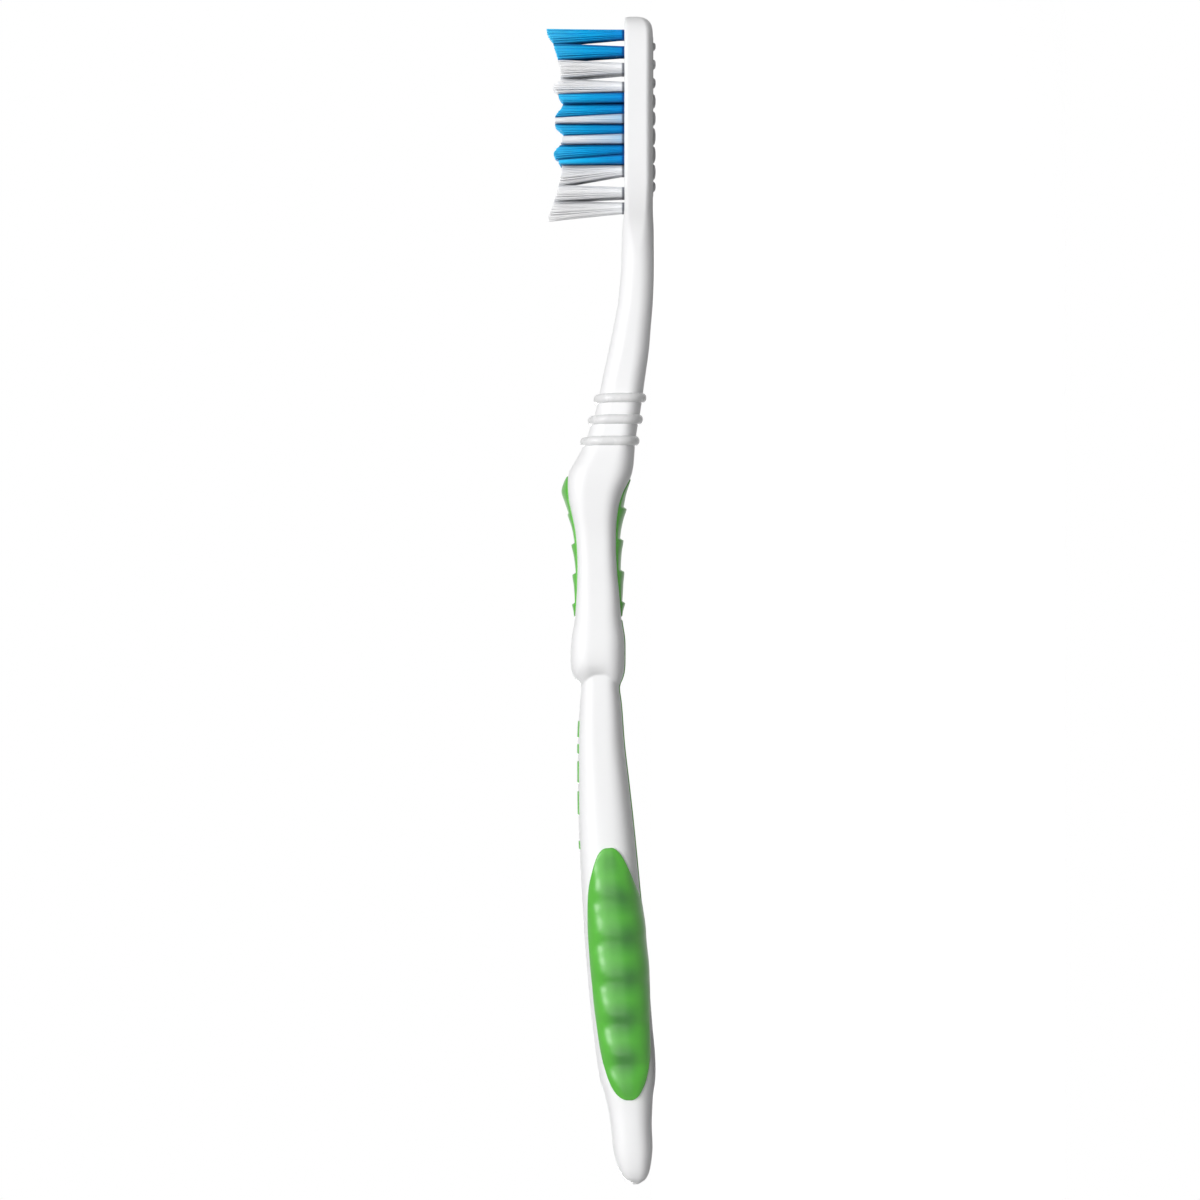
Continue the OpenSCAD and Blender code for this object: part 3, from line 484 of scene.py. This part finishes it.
# Each nylon's root, edge and line colours are painted shade, and its tip colour painted light
BLUE = filament(
    "blue_bristles", dark=(0.002, 0.47, 0.93), bright=(0.004, 0.55, 0.97),
    painted_root_shade=(0.001, 0.28, 0.7), painted_tip_light=(0.06, 0.62, 0.98),
    painted_edge_shade=(0.001, 0.09, 0.32), painted_line_shade=(0.001, 0.09, 0.32), shine=0.2)
PALE = filament(
    "white_bristles", dark=(0.96, 0.965, 0.985), bright=(0.99, 0.99, 0.995),
    painted_root_shade=(0.94, 0.95, 0.97), painted_tip_light=(0.99, 0.99, 0.995),
    painted_edge_shade=(0.69, 0.7, 0.73), painted_line_shade=(0.22, 0.23, 0.26), shine=0.5)
# White nylon with painted bluish shade, strongest at the roots, for the light that reaches it
# through the blue tufts beside it
PALE_WITH_PAINTED_BLUE_SHADE = filament(
    "pale_bristles_painted_blue_shade", dark=(0.86, 0.91, 0.98), bright=(0.92, 0.95, 0.99),
    painted_root_shade=(0.45, 0.66, 0.84), painted_tip_light=(0.98, 0.98, 0.99),
    painted_edge_shade=(0.35, 0.42, 0.56), painted_line_shade=(0.12, 0.15, 0.22), shine=0.3)

# Handle
# Turns of the points round one side of a section, and whether each is on the front
QUARTER = 14
SIDE_TURNS = [(90 * i / QUARTER, True) for i in range(QUARTER + 1)] + [
    (90 + 90 * i / QUARTER, False) for i in range(QUARTER + 1)]
BOW_REACH = GRIP_L * 0.26
# Stations along the handle: those at the head's tip, and each later run's start and step
TIP_STATIONS = [0, 0.03, 0.08, 0.14, 0.2, 0.28, 0.38, 0.5, 0.65, 0.8, 1.0, 1.2, 1.45, 1.7, 2.0, 2.4]
STATION_RUNS = [(2.8, 0.55), (CREASE_S - 1.5, 0.15), (CREASE_S + 1.5, 0.6), (BRUSH_L - 3, 0.2),
                (BRUSH_L - 0.6, 0.06)]
CAP_SHARES = (0.2, 0.5, 0.8)
HANDLE_SHARP, CREASE_SLACK = 38, 0.002


def bow(s, z, c):
    """How far the crease's neighbourhood bows towards the head's tip, most at mid height."""
    t, v = (s - CREASE_S) / BOW_REACH, (2 * z - c.front - c.back) / (c.front - c.back)
    return CREASE_BOW * (1 - t * t) ** 2 * (1 - v * v) if abs(t) < 1 else 0


def handle_ring(s, share=1.0):
    c = section(s)
    side = [rim(c, turn, ahead) for turn, ahead in SIDE_TURNS]
    middle = (c.front + c.back) / 2
    ring = [(y, z) for y, z in side] + [(-y, z) for y, z in reversed(side)]
    return [point(s - bow(s, z, c), y * share, mix(middle, z, share)) for y, z in ring]


def places(start, end, step):
    count = max(1, round((end - start) / step))
    return [mix(start, end, i / count) for i in range(count)]


def handle_mesh():
    ends = [start for start, _ in STATION_RUNS[1:]] + [BRUSH_L]
    stations = TIP_STATIONS + [
        s for (start, step), end in zip(STATION_RUNS, ends) for s in places(start, end, step)
    ] + [BRUSH_L]
    head = [handle_ring(0, share) for share in CAP_SHARES]
    tail = [handle_ring(BRUSH_L, share) for share in reversed(CAP_SHARES)]
    return tube(head + [handle_ring(s) for s in stations] + tail)


# Tuft rows from the head's tip: place as a share of the field, tufts in the row, 1 for blue
ROW_SHARES = [
    (0, 2, 1), (0.1, 3, 1), (0.2, 4, 0), (0.305, 3, 0), (0.37, 4, 1), (0.433, 3, 1),
    (0.491, 4, 0), (0.55, 3, 1), (0.607, 4, 0), (0.665, 3, 1), (0.725, 4, 1), (0.785, 3, 0),
    (0.915, 4, 0), (1, 3, 0)]
# Where the rows end and meet at their tips, as shares of the field. These and the trim line are
# fitted to the photograph, up to 0.8 mm along the head from the solids' places.
TIP_EDGE_SHARES = [-0.034, 0.06, 0.154, 0.259, 0.351, 0.407, 0.489, 0.5185, 0.592, 0.64, 0.735,
                   0.758, 0.882, 0.966, 1.077]
FIELD_L = HEAD_L - FIELD_START - FIELD_END
# Trim line: place along the field, and length of a bristle there
TRIM_ROWS = zone(FIELD_START, FIELD_L, 0, TUFT_L, [
    (-0.034, 0.99), (-0.015, 0.985), (0.06, 0.9), (0.156, 0.84), (0.25, 0.805), (0.262, 0.81),
    (0.307, 0.906), (0.349, 0.842), (0.362, 0.832), (0.403, 0.776), (0.418, 0.785), (0.49, 0.88),
    (0.524, 0.88), (0.587, 0.768), (0.595, 0.772), (0.634, 0.803), (0.696, 0.897), (0.749, 0.82),
    (0.766, 0.795), (0.878, 0.833), (0.963, 0.888), (1.077, 0.98)])
MOST_IN_ROW = 4
TUFT_GAP = (HEAD_W - 2 * HOLE_WALL - 2 * HOLE_R) / (MOST_IN_ROW - 1)
TUFTS = [(r, c, FIELD_START + FIELD_L * share, TUFT_GAP * (c - (count - 1) / 2), blue)
         for r, (share, count, blue) in enumerate(ROW_SHARES) for c in range(count)]
HOLE_SIDES, MOUTH_R, MOUTH_H, CUT_OVER = 32, 0.95, 0.1, 0.5


def hole_cutters():
    parts = []
    levels = [(HEAD_TOP - HOLE_DEPTH, HOLE_R), (HEAD_TOP - MOUTH_H, HOLE_R), (HEAD_TOP, MOUTH_R),
              (HEAD_TOP + CUT_OVER, MOUTH_R)]
    for _, _, s, y, _ in TUFTS:
        x = BRUSH_L / 2 - s
        rings = [[(x + r * math.cos(2 * math.pi * i / HOLE_SIDES),
                   y + r * math.sin(2 * math.pi * i / HOLE_SIDES), z) for i in range(HOLE_SIDES)]
                 for z, r in levels]
        parts.append(tube(rings))
    return joined(parts)


def outward(mesh):
    work = bmesh.new()
    work.from_mesh(mesh)
    bmesh.ops.recalc_face_normals(work, faces=work.faces)
    work.to_mesh(mesh)
    work.free()


def on_crease(place):
    x, _, z = place
    return abs(x - BRUSH_L / 2 + CREASE_S - bow(CREASE_S, z, section(CREASE_S))) < CREASE_SLACK


def make_handle():
    body = mesh_of("handle", *handle_mesh())
    outward(body)
    cutter = bpy.data.objects.new("hole_cutter", mesh_of("hole_cutter", *hole_cutters()))
    outward(cutter.data)
    handle = bpy.data.objects.new("handle", body)
    for made in (handle, cutter):
        bpy.context.scene.collection.objects.link(made)
    cut = handle.modifiers.new("holes", "BOOLEAN")
    cut.operation, cut.solver, cut.object = "DIFFERENCE", "MANIFOLD", cutter
    bpy.context.view_layer.update()
    drilled = bpy.data.meshes.new_from_object(
        handle.evaluated_get(bpy.context.evaluated_depsgraph_get()))
    handle.modifiers.clear()
    handle.data = drilled
    bpy.data.objects.remove(cutter)
    drilled.shade_smooth()
    drilled.set_sharp_from_angle(angle=math.radians(HANDLE_SHARP))
    for edge in drilled.edges:
        if all(on_crease(drilled.vertices[v].co / MM) for v in edge.vertices):
            edge.use_edge_sharp = True
    drilled.materials.clear()
    drilled.materials.append(WHITE)
    weigh = handle.modifiers.new("normals", "WEIGHTED_NORMAL")
    weigh.keep_sharp = True
    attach(handle, "root")
    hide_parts("handle_core")


make_handle()

# Pads on the front and the back
# A soft part's rounded edge: its radius, its rows of points from the border in, how far its
# border sinks in the skin, and half the width below which the rows draw together
EDGE_R, EDGE_SINK, NARROW_HALF = 0.22, 0.02, 0.5
INSETS = [0, 0.015, 0.045, 0.09, 0.15, 0.22]
PAD_ROOT, INLAY_ROOT, INLAY_CROWN = 0.4, 0.3, 0.3
PAD_SHARP = 50


def edge_rise(inset, radius=EDGE_R):
    t = min(1, max(0, inset) / radius)
    return math.sqrt(1 - (1 - t) ** 2)


def spread_places(length, step, extra=()):
    inner = places(INSETS[-1], length - INSETS[-1], step)
    ends = INSETS[:-1] + [length - e for e in INSETS]
    return sorted(set(round(v, 4) for v in inner + ends + list(extra) if 0 <= v <= length))


def skin_pad(start, length, half_at, lift_at, front, root, step, cols, extra=()):
    """A pad on the front or back skin: half_at gives half its width and lift_at its height."""
    outer, inner = [], []
    for d in spread_places(length, step, extra):
        s, half = start + d, half_at(d)
        ends = min(d, length - d)
        insets = [e * min(1, half / NARROW_HALF) for e in INSETS]
        sides = [half - e for e in insets] + [
            mix(half - insets[-1], 0, i / (cols // 2)) for i in range(1, cols // 2)]
        row = [-y for y in sides] + [0] + [y for y in reversed(sides)]
        line, under = [], []
        for y in row:
            rise = edge_rise(min(ends, half - abs(y)))
            lift = lift_at(d, y / half) * rise - EDGE_SINK * (1 - rise)
            skin = front_skin(s, y) if front else back_skin(s, y)
            sign = 1 if front else -1
            line.append(point(s, y, skin + sign * lift))
            under.append(point(s, y, skin - sign * root))
        outer.append(line)
        inner.append(under)
    return shell(outer, inner, turned=front)


# Half the width along a pad, the swell of its surface, and the height along a tooth
PAD_PLAN = [(0, 0.06), (0.01, 0.25), (0.03, 0.44), (0.07, 0.65), (0.12, 0.82), (0.18, 0.94),
            (0.27, 1), (0.4, 1), (0.6, 0.96), (0.78, 0.9), (0.88, 0.8), (0.94, 0.66), (0.98, 0.43),
            (0.994, 0.25), (1, 0.1)]
THUMB_SWELL = [(0, 0), (0.05, 0.6), (0.11, 1), (0.18, 0.62), (0.26, 0.28), (0.35, 0.12), (0.5, 0),
               (1, 0)]
FINGER_SWELL = [(0, 0), (0.1, 0.7), (0.2, 1), (0.45, 0.68), (0.7, 0.62), (0.9, 0.3), (1, 0)]
TOOTH = [(0, 0), (0.03, 0.35), (0.08, 1), (0.13, 0.97), (0.4, 0.55), (0.75, 0.2), (1, 0)]
TOOTH_COUNT, TOOTH_RUN, TOOTH_FADE = 4, 3.5, 0.5
TOOTH_ROWS = (-0.02, 0, 0.015, 0.03, 0.045, 0.06, 0.08, 0.1, 0.13)


def toothed_pad(start, length, width, nose_l, bulge, swell, heights, front):
    pitch = (length - nose_l) / TOOTH_RUN
    plan_rows = zone(0, length, 0, width / 2, PAD_PLAN)
    swell_rows = zone(0, length, 0, bulge, swell)

    def lift_at(d, u):
        i = int((d - nose_l) // pitch) if d >= nose_l else -1
        tooth = 0
        if 0 <= i < TOOTH_COUNT:
            part = (d - nose_l) / pitch
            cut = min(1, (TOOTH_RUN - part) / TOOTH_FADE)
            tooth = TOOTH_H * heights[i] * curve(TOOTH, part - i) * cut
        return PAD_STEP + curve(swell_rows, d) * (1 - u * u) + tooth * (1 - u**4)

    extra = [nose_l + pitch * (i + k) for i in range(TOOTH_COUNT) for k in TOOTH_ROWS]
    return skin_pad(start, length, lambda d: curve(plan_rows, d), lift_at, front, root=PAD_ROOT,
                    step=0.25, cols=28, extra=extra)


finish_piece("thumb_grip_pad", *toothed_pad(
    GRIP_S, THUMB_L, THUMB_W, THUMB_NOSE_L, THUMB_BULGE, THUMB_SWELL, (0.4, 1, 1, 1), True),
    GREEN, "green_grip", ["thumb_pad"], sharp=PAD_SHARP)
finish_piece("finger_grip_pad", *toothed_pad(
    GRIP_S + FINGER_START, FINGER_L, FINGER_W, FINGER_NOSE_L, FINGER_BULGE, FINGER_SWELL,
    (1, 1, 1, 1), False), GREEN, "green_grip", ["finger_pad"], sharp=PAD_SHARP)

# The strip starts closer to the finger pad than the solid does, and strip and bars are prouder
STRIP_AHEAD, STRIP_RISE, BAR_RISE = 1.2, 0.17, 0.16
STRIP_S = GRIP_S + FINGER_START + FINGER_L + STRIP_GAP - STRIP_AHEAD
STRIP_SPAN = STRIP_L + STRIP_AHEAD
STRIP_END_SHARE, STRIP_END_R = 0.35, 0.8


def strip_half(d):
    end = edge_rise(min(d, STRIP_SPAN - d), STRIP_END_R)
    return STRIP_W / 2 * min(1, STRIP_END_SHARE + end)


finish_piece("back_strip", *skin_pad(
    STRIP_S, STRIP_SPAN, strip_half,
    lambda d, u: STRIP_RISE * (1 - INLAY_CROWN * u * u), False, root=INLAY_ROOT, step=0.6, cols=10),
    GREEN, "green_grip", ["spine_strip"])
# Where each bar starts and ends, as shares of the palm section
MARK_SHARES = [(0.084, 0.127), (0.142, 0.167), (0.185, 0.241), (0.261, 0.321), (0.386, 0.408)]
finish_piece("front_bars", *joined([
    skin_pad(CREASE_S + PALM_L * low, PALM_L * (high - low), lambda d: MARK_W / 2,
             lambda d, u: BAR_RISE * (1 - INLAY_CROWN * u * u), True, root=INLAY_ROOT, step=0.3,
             cols=14)
    for low, high in MARK_SHARES]), GREEN, "green_grip", ["front_marks"])

# Palm grips
# A grip's front and back border: place along it, and share of the half turn round the section
LOBE_FRONT = [(0, 0.527), (0.002, 0.5), (0.008, 0.455), (0.028, 0.4), (0.061, 0.35),
              (0.104, 0.303), (0.154, 0.255), (0.217, 0.219), (0.3, 0.197), (0.391, 0.184),
              (0.5, 0.187), (0.605, 0.191), (0.747, 0.203), (0.833, 0.222), (0.918, 0.277),
              (0.968, 0.335), (0.99, 0.4), (0.997, 0.45), (1, 0.49)]
LOBE_BACK = [(0, 0.535), (0.002, 0.555), (0.008, 0.585), (0.023, 0.63), (0.078, 0.718),
             (0.134, 0.791), (0.173, 0.85), (0.21, 0.92), (0.25, 0.955), (0.34, 0.965),
             (0.436, 0.955), (0.53, 0.935), (0.61, 0.887), (0.69, 0.845), (0.8, 0.805),
             (0.91, 0.73), (0.98, 0.63), (0.997, 0.55), (1, 0.51)]
LOBE_COLS, LOBE_ROW_STEP, LOBE_END_ROWS = 40, 0.3, (0.3, 0.45)
LOBE_EDGE_R, LOBE_END_POWER = 0.3, 8
WIDTH_SAMPLES, MOST_INSET = 12, 0.2
# Share of a wave's pitch that its fall takes, which is steeper than its climb
WAVE_FALL = 0.44
# Painted shade on the grips' waves, on the falls that turn from the light: where it lies after a
# crest and across, and its spreads
PAINTED_SHADE_PART, PAINTED_SHADE_SPREAD = 0.25, 0.42
PAINTED_SHADE_SIDE, PAINTED_SHADE_SIDE_SPREAD = -0.02, 0.33
# Power of the drop below a crest, which makes the crests broader than the valleys
CREST_POWER = 1.5


def wave(d):
    part = (d - WAVE_START) / WAVE_PITCH % 1
    half_turns = part / WAVE_FALL if part < WAVE_FALL else 1 + (part - WAVE_FALL) / (1 - WAVE_FALL)
    return WAVE_H * (1 - ((1 - math.cos(math.pi * half_turns)) / 2) ** CREST_POWER)


def hollow_at(d, u):
    part = ((d - WAVE_START) / WAVE_PITCH - PAINTED_SHADE_PART + 0.5) % 1 - 0.5
    return math.exp(-(part / PAINTED_SHADE_SPREAD) ** 2 - ((u - PAINTED_SHADE_SIDE) / PAINTED_SHADE_SIDE_SPREAD) ** 2)


def turn_at(c, share):
    """The turn where a fuller section has the height that an ellipse has at this share."""
    cos = math.cos(math.pi * share)
    return math.degrees(math.acos(math.copysign(abs(cos) ** (1 / c.power), cos)))


def palm_grip(side):
    outer, inner, hollows = [], [], []
    end_rows = [e for near in LOBE_END_ROWS for e in (near, LOBE_L - near)]
    for d in spread_places(LOBE_L, LOBE_ROW_STEP, end_rows):
        k, s = d / LOBE_L, CREASE_S + LOBE_START + d
        c = section(s)
        low, high = turn_at(c, curve(LOBE_FRONT, k)), turn_at(c, curve(LOBE_BACK, k))
        turns = [mix(low, high, i / WIDTH_SAMPLES) for i in range(WIDTH_SAMPLES + 1)]
        samples = [rim(c, turn, turn <= 90) for turn in turns]
        width = sum(math.dist(a, b) for a, b in zip(samples, samples[1:]))
        insets = [min(e, width * MOST_INSET) / width for e in INSETS]
        across = [mix(insets[-1], 1 - insets[-1], i / LOBE_COLS) for i in range(LOBE_COLS + 1)]
        ends = 1 - (2 * k - 1) ** LOBE_END_POWER
        line, under = [], []
        for share in insets[:-1] + across + [1 - e for e in reversed(insets[:-1])]:
            u, turn = 2 * share - 1, mix(low, high, share)
            rise = edge_rise(min(d, LOBE_L - d, (1 - abs(u)) * width / 2), LOBE_EDGE_R)
            lift = (LOBE_STEP + wave(d) * ((1 - u * u) * ends)) * rise - EDGE_SINK * (1 - rise)
            p, n = rim(c, turn, turn <= 90), rim_normal(c, turn, turn <= 90)
            line.append(point(s, side * (p[0] + lift * n[0]), p[1] + lift * n[1]))
            under.append(point(s, side * (p[0] - PAD_ROOT * n[0]), p[1] - PAD_ROOT * n[1]))
            # Each point's share of the painted shade on the grip
            hollows.append(hollow_at(d, u) * ends)
        outer.append(line)
        inner.append(under)
    return *shell(outer, inner, turned=side > 0), hollows


for side, hand in ((1, "left"), (-1, "right")):
    verts, faces, hollows = palm_grip(side)
    pad = finish_piece("palm_pad_" + hand, verts, faces, GREEN, "green_grip", ["palm_grip_" + hand])
    hollows += [0] * (len(verts) - len(hollows))
    # The grip's painted shade is kept on its points
    pad.data.attributes.new("hollow", "FLOAT", "POINT").data.foreach_set("value", hollows)

# Neck rings
RING_COUNT, BEAD_SEGS = 3, 28
# The neck slopes in front, so the beads stand a little further out there
RING_FRONT_LIFT = 0.16


def neck_ring(k):
    s = GRIP_S - RING_TO_CREST - RING_PITCH * (RING_COUNT - 1 - k)
    c = section(s)
    rings = []
    for half in (1, -1):
        for turn, ahead in SIDE_TURNS[:: half]:
            p, n = rim(c, turn, ahead), rim_normal(c, turn, ahead)
            sin, cos = math.sin(math.radians(turn)), math.cos(math.radians(turn))
            lean = -RING_LEAN * cos + RING_BOW * sin * sin
            out = RING_FRONT_LIFT * max(0, cos) ** 2
            ring = []
            for b in range(BEAD_SEGS):
                a = 2 * math.pi * b / BEAD_SEGS
                rise = out + RING_PROUD * math.cos(a)
                ring.append(point(s - lean + RING_HALF_L * math.sin(a),
                                  half * (p[0] + rise * n[0]), p[1] + rise * n[1]))
            rings.append(ring)
    return tube(rings, closed=True)


for k in range(RING_COUNT):
    finish_piece("neck_bead_%d" % (k + 1), *neck_ring(k), RING_GREY, "neck_rings",
                 ["neck_ring_%d" % (k + 1)])

# Tongue cleaner
# Where each rib starts and ends, as shares of the cleaner's length
RIB_SHARES = [(0.04, 0.082), (0.15, 0.196), (0.265, 0.315), (0.365, 0.442), (0.473, 0.55),
              (0.575, 0.672), (0.69, 0.785), (0.803, 0.89), (0.91, 0.968)]
CLEANER_R = CLEANER_W / 2
# The plate's edge from its root out: height over the head's back, and inset
PLATE_PROUD, PLATE_SEGS = 0.07, 24
PLATE_EDGE = [(0.3, 0), (0, 0), (-0.03, 0.01), (-0.055, 0.04), (-PLATE_PROUD, 0.09)]
# A rib's root depth and rounding: number of steps, power, and share of its width at the top
RIB_ROOT, RIB_STEPS, RIB_POWER, RIB_TOP = 0.15, 9, 0.9, 0.03
CLEANER_SHARP = 60


def cleaner_half(d):
    off = max(0, CLEANER_R - d, d - CLEANER_L + CLEANER_R)
    return math.sqrt(max(0, CLEANER_R**2 - off**2))


def stadium(x, half, radius, z, along_x, count=14):
    """A loop with two straight sides and two half circles, each of this many segments."""
    loop = []
    for end in (1, -1):
        for i in range(count + 1):
            a = math.pi * i / count
            across, out = end * radius * math.cos(a), end * (half + radius * math.sin(a))
            loop.append((x + out, across, z) if along_x else (x + across, out, z))
    return loop


def cleaner_mesh():
    middle = BRUSH_L / 2 - CLEANER_START - CLEANER_L / 2
    half = CLEANER_L / 2 - CLEANER_R
    low = HEAD_BACK - PLATE_PROUD
    parts = [tube([stadium(middle, half, CLEANER_R - inset, HEAD_BACK + rise, True, PLATE_SEGS)
                   for rise, inset in PLATE_EDGE])]
    for start, end in RIB_SHARES:
        a, b = CLEANER_L * start, CLEANER_L * end
        r = (b - a) / 2
        reach = min(cleaner_half(a), cleaner_half(b)) - RIB_RIM - r
        x = BRUSH_L / 2 - CLEANER_START - a - r
        loops = [stadium(x, reach, r, z, False) for z in (HEAD_BACK + RIB_ROOT, low)]
        for i in range(1, RIB_STEPS + 1):
            turn = math.radians(90 / RIB_STEPS * i)
            loops.append(stadium(x, reach, max(r * math.cos(turn), r * RIB_TOP),
                                 low - low * math.sin(turn) ** RIB_POWER, False))
        parts.append(tube(loops))
    return joined(parts)


cleaner = finish_piece("tongue_scraper", *cleaner_mesh(), CLEANER_GREY, "tongue_cleaner",
                       ["tongue_cleaner"], sharp=CLEANER_SHARP)
outward(cleaner.data)

# Bristles
FILAMENT_R, FILAMENTS, FILAMENT_SIDES = 0.09, 72, 6
TIP_JITTER, SWAY = 0.06, 0.03
# Shares of a filament's length with a ring of points, and its end: distance from the top and size
LEVEL_SHARES = (0, 0.15, 0.35, 0.5, 0.62, 0.8)
END_LEVELS = ((0.09, 1), (0.04, 0.82), (0.012, 0.5))
# Room between the filaments and their hole, and how far their roots go below the plate
ROOT_PLAY, ROOT_DEPTH = 0.02, 1.2
ROOT_Z = HEAD_TOP - ROOT_DEPTH
# The share of the way up at which a tuft is as wide as its place allows, and how square it is
MEET_AT, SQUARE = 0.72, 0.55
# A filament this far out in its tuft, as a share, starts to take painted shade towards the tuft's
# edge, where the next row stands
PAINTED_EDGE_SHADE_FROM = 0.62
GOLDEN = math.pi * (3 - math.sqrt(5))


def row_edges():
    """Where each row's filaments press on the next row's: [root place, tip place]."""
    roots = [FIELD_START + FIELD_L * share for share, _, _ in ROW_SHARES]
    between = [(a + b) / 2 for a, b in zip(roots, roots[1:])]
    ends = [roots[0] - HOLE_R] + between + [roots[-1] + HOLE_R]
    return [(root, FIELD_START + FIELD_L * tip) for root, tip in zip(ends, TIP_EDGE_SHARES)]


ROW_EDGES = row_edges()


def pressed(value, low, high):
    return max(low, min(high, value))


def tuft_mesh(r, s, y, rng):
    """One tuft's filaments, and for each point how much painted shade it takes for lying near the
    tuft's edge.
    """
    (root_low, tip_low), (root_high, tip_high) = ROW_EDGES[r], ROW_EDGES[r + 1]
    root_r = HOLE_R - FILAMENT_R - ROOT_PLAY
    side = TUFT_GAP / 2 - FILAMENT_R
    parts, edges = [], []
    for i in range(FILAMENTS):
        radius = root_r * math.sqrt((i + 0.5) / FILAMENTS)
        q = (radius * math.cos(i * GOLDEN), radius * math.sin(i * GOLDEN))
        squeeze = radius / max(abs(q[0]), abs(q[1]), 1e-6)
        square = mix(1, squeeze, SQUARE) / root_r
        meet = mix(root_low, tip_low, MEET_AT), mix(root_high, tip_high, MEET_AT)
        meet_x = mix(meet[0] + FILAMENT_R, meet[1] - FILAMENT_R, (1 - q[0] * square) / 2)
        rate = ((s - meet_x - q[0]) / MEET_AT, (q[1] * square * side - q[1]) / MEET_AT)
        tip_s = pressed(s - q[0] - rate[0], tip_low + FILAMENT_R, tip_high - FILAMENT_R)
        length = curve(TRIM_ROWS, tip_s) + rng.uniform(-TIP_JITTER, TIP_JITTER)
        top = HEAD_TOP + length
        sway = (rng.uniform(-SWAY, SWAY), rng.uniform(-SWAY, SWAY))
        levels = [(mix(ROOT_Z, top, t), 1) for t in LEVEL_SHARES] + [
            (top - drop, size) for drop, size in END_LEVELS]
        spin = rng.uniform(0, 2 * math.pi)
        rings = []
        for z, size in levels:
            t = max(0, z - HEAD_TOP) / TUFT_L
            bend = 4 * t * max(0, 1 - t)
            low = mix(root_low, tip_low, t) + FILAMENT_R
            high = mix(root_high, tip_high, t) - FILAMENT_R
            place = pressed(s - q[0] - rate[0] * t, low, high)
            across = pressed(q[1] + rate[1] * t, -side, side)
            x = BRUSH_L / 2 - place + sway[0] * bend
            v = y + across + sway[1] * bend
            rings.append([
                (x + FILAMENT_R * size * math.cos(spin + 2 * math.pi * a / FILAMENT_SIDES),
                 v + FILAMENT_R * size * math.sin(spin + 2 * math.pi * a / FILAMENT_SIDES),
                 z) for a in range(FILAMENT_SIDES)])
        parts.append(tube(rings))
        across_row = abs(q[0]) * square
        # No painted shade on the outer sides of the first and last rows, which have no row beside
        # them
        if r == (0 if q[0] > 0 else len(ROW_SHARES) - 1):
            across_row = 0
        edges += [min(1, max(0, (across_row - PAINTED_EDGE_SHADE_FROM) / (1 - PAINTED_EDGE_SHADE_FROM)))] * (
            len(rings) * FILAMENT_SIDES)
    return *joined(parts), edges


for number, (r, c, s, y, blue) in enumerate(TUFTS):
    name = "tuft_r%02d_c%d" % (r + 1, c + 1)
    verts, faces, edges = tuft_mesh(r, s, y, random.Random(number))
    between = 0 < r < len(ROW_SHARES) - 1 and ROW_SHARES[r - 1][2] and ROW_SHARES[r + 1][2]
    # White rows between two blue ones take the painted bluish shade
    nylon = BLUE if blue else PALE_WITH_PAINTED_BLUE_SHADE if between else PALE
    tuft = finish_piece("bristles_r%02d_c%d" % (r + 1, c + 1), verts, faces, nylon,
                        "blue_bristles" if blue else "white_bristles", [name])
    # The points' painted shade towards the tuft's edges
    tuft.data.attributes.new("edge", "FLOAT", "POINT").data.foreach_set("value", edges)

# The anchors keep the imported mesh
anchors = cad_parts["tuft_anchors"]
anchors.data.materials.clear()
anchors.data.materials.append(METAL)


# Floor, world and lamps
def seen_directly(tree):
    """1 for rays that show the backdrop itself: to the camera, in gloss or through glass."""
    path = tree.nodes.new("ShaderNodeLightPath")
    top = path.outputs["Is Camera Ray"]
    for name in ("Is Glossy Ray", "Is Transmission Ray"):
        larger = tree.nodes.new("ShaderNodeMath")
        larger.operation = "MAXIMUM"
        tree.links.new(top, larger.inputs[0])
        tree.links.new(path.outputs[name], larger.inputs[1])
        top = larger.outputs[0]
    return top


def make_world():
    world = bpy.data.worlds.new("studio")
    world.use_nodes = True
    tree = world.node_tree
    background = tree.nodes["Background"]
    background.inputs["Color"].default_value = (1, 1, 1, 1)
    tree.links.new(ranged(tree, seen_directly(tree), AMBIENT, 1, 0, 1),
                   background.inputs["Strength"])
    bpy.context.scene.world = world


def make_floor():
    mesh = bpy.data.meshes.new("floor")
    half = FLOOR_SIZE / 2
    corners = [(-half, -half), (half, -half), (half, half), (-half, half)]
    mesh.from_pydata([(x, y, FLOOR_Z) for x, y in corners], [], [(0, 1, 2, 3)])
    floor = bpy.data.objects.new("floor", mesh)
    bpy.context.scene.collection.objects.link(floor)
    material = bpy.data.materials.new("floor")
    material.use_nodes = True
    tree = material.node_tree
    shader = tree.nodes["Principled BSDF"]
    shader.inputs["Base Color"].default_value = (FLOOR_BASE, FLOOR_BASE, FLOOR_BASE, 1)
    shader.inputs["Roughness"].default_value = FLOOR_ROUGH
    shader.inputs["Specular IOR Level"].default_value = FLOOR_SHINE
    shader.inputs["Emission Color"].default_value = (1, 1, 1, 1)
    tree.links.new(ranged(tree, seen_directly(tree), 0, FLOOR_LIFT, 0, 1),
                   shader.inputs["Emission Strength"])
    mesh.materials.append(material)


def make_sun(name, share, angle, shines_from):
    data = bpy.data.lights.new(name, "SUN")
    data.energy, data.angle = share * math.pi, math.radians(angle)
    lamp = bpy.data.objects.new(name, data)
    lamp.rotation_mode = "QUATERNION"
    lamp.rotation_quaternion = Vector(shines_from).to_track_quat("Z", "Y")
    bpy.context.scene.collection.objects.link(lamp)


make_world()
make_floor()
make_sun("key", KEY_SHARE, KEY_ANGLE, KEY_FROM)
make_sun("top", TOP_SHARE, TOP_ANGLE, TOP_FROM)
make_sun("back", BACK_SHARE, BACK_ANGLE, BACK_FROM)
bpy.context.scene.view_settings.view_transform = "Standard"
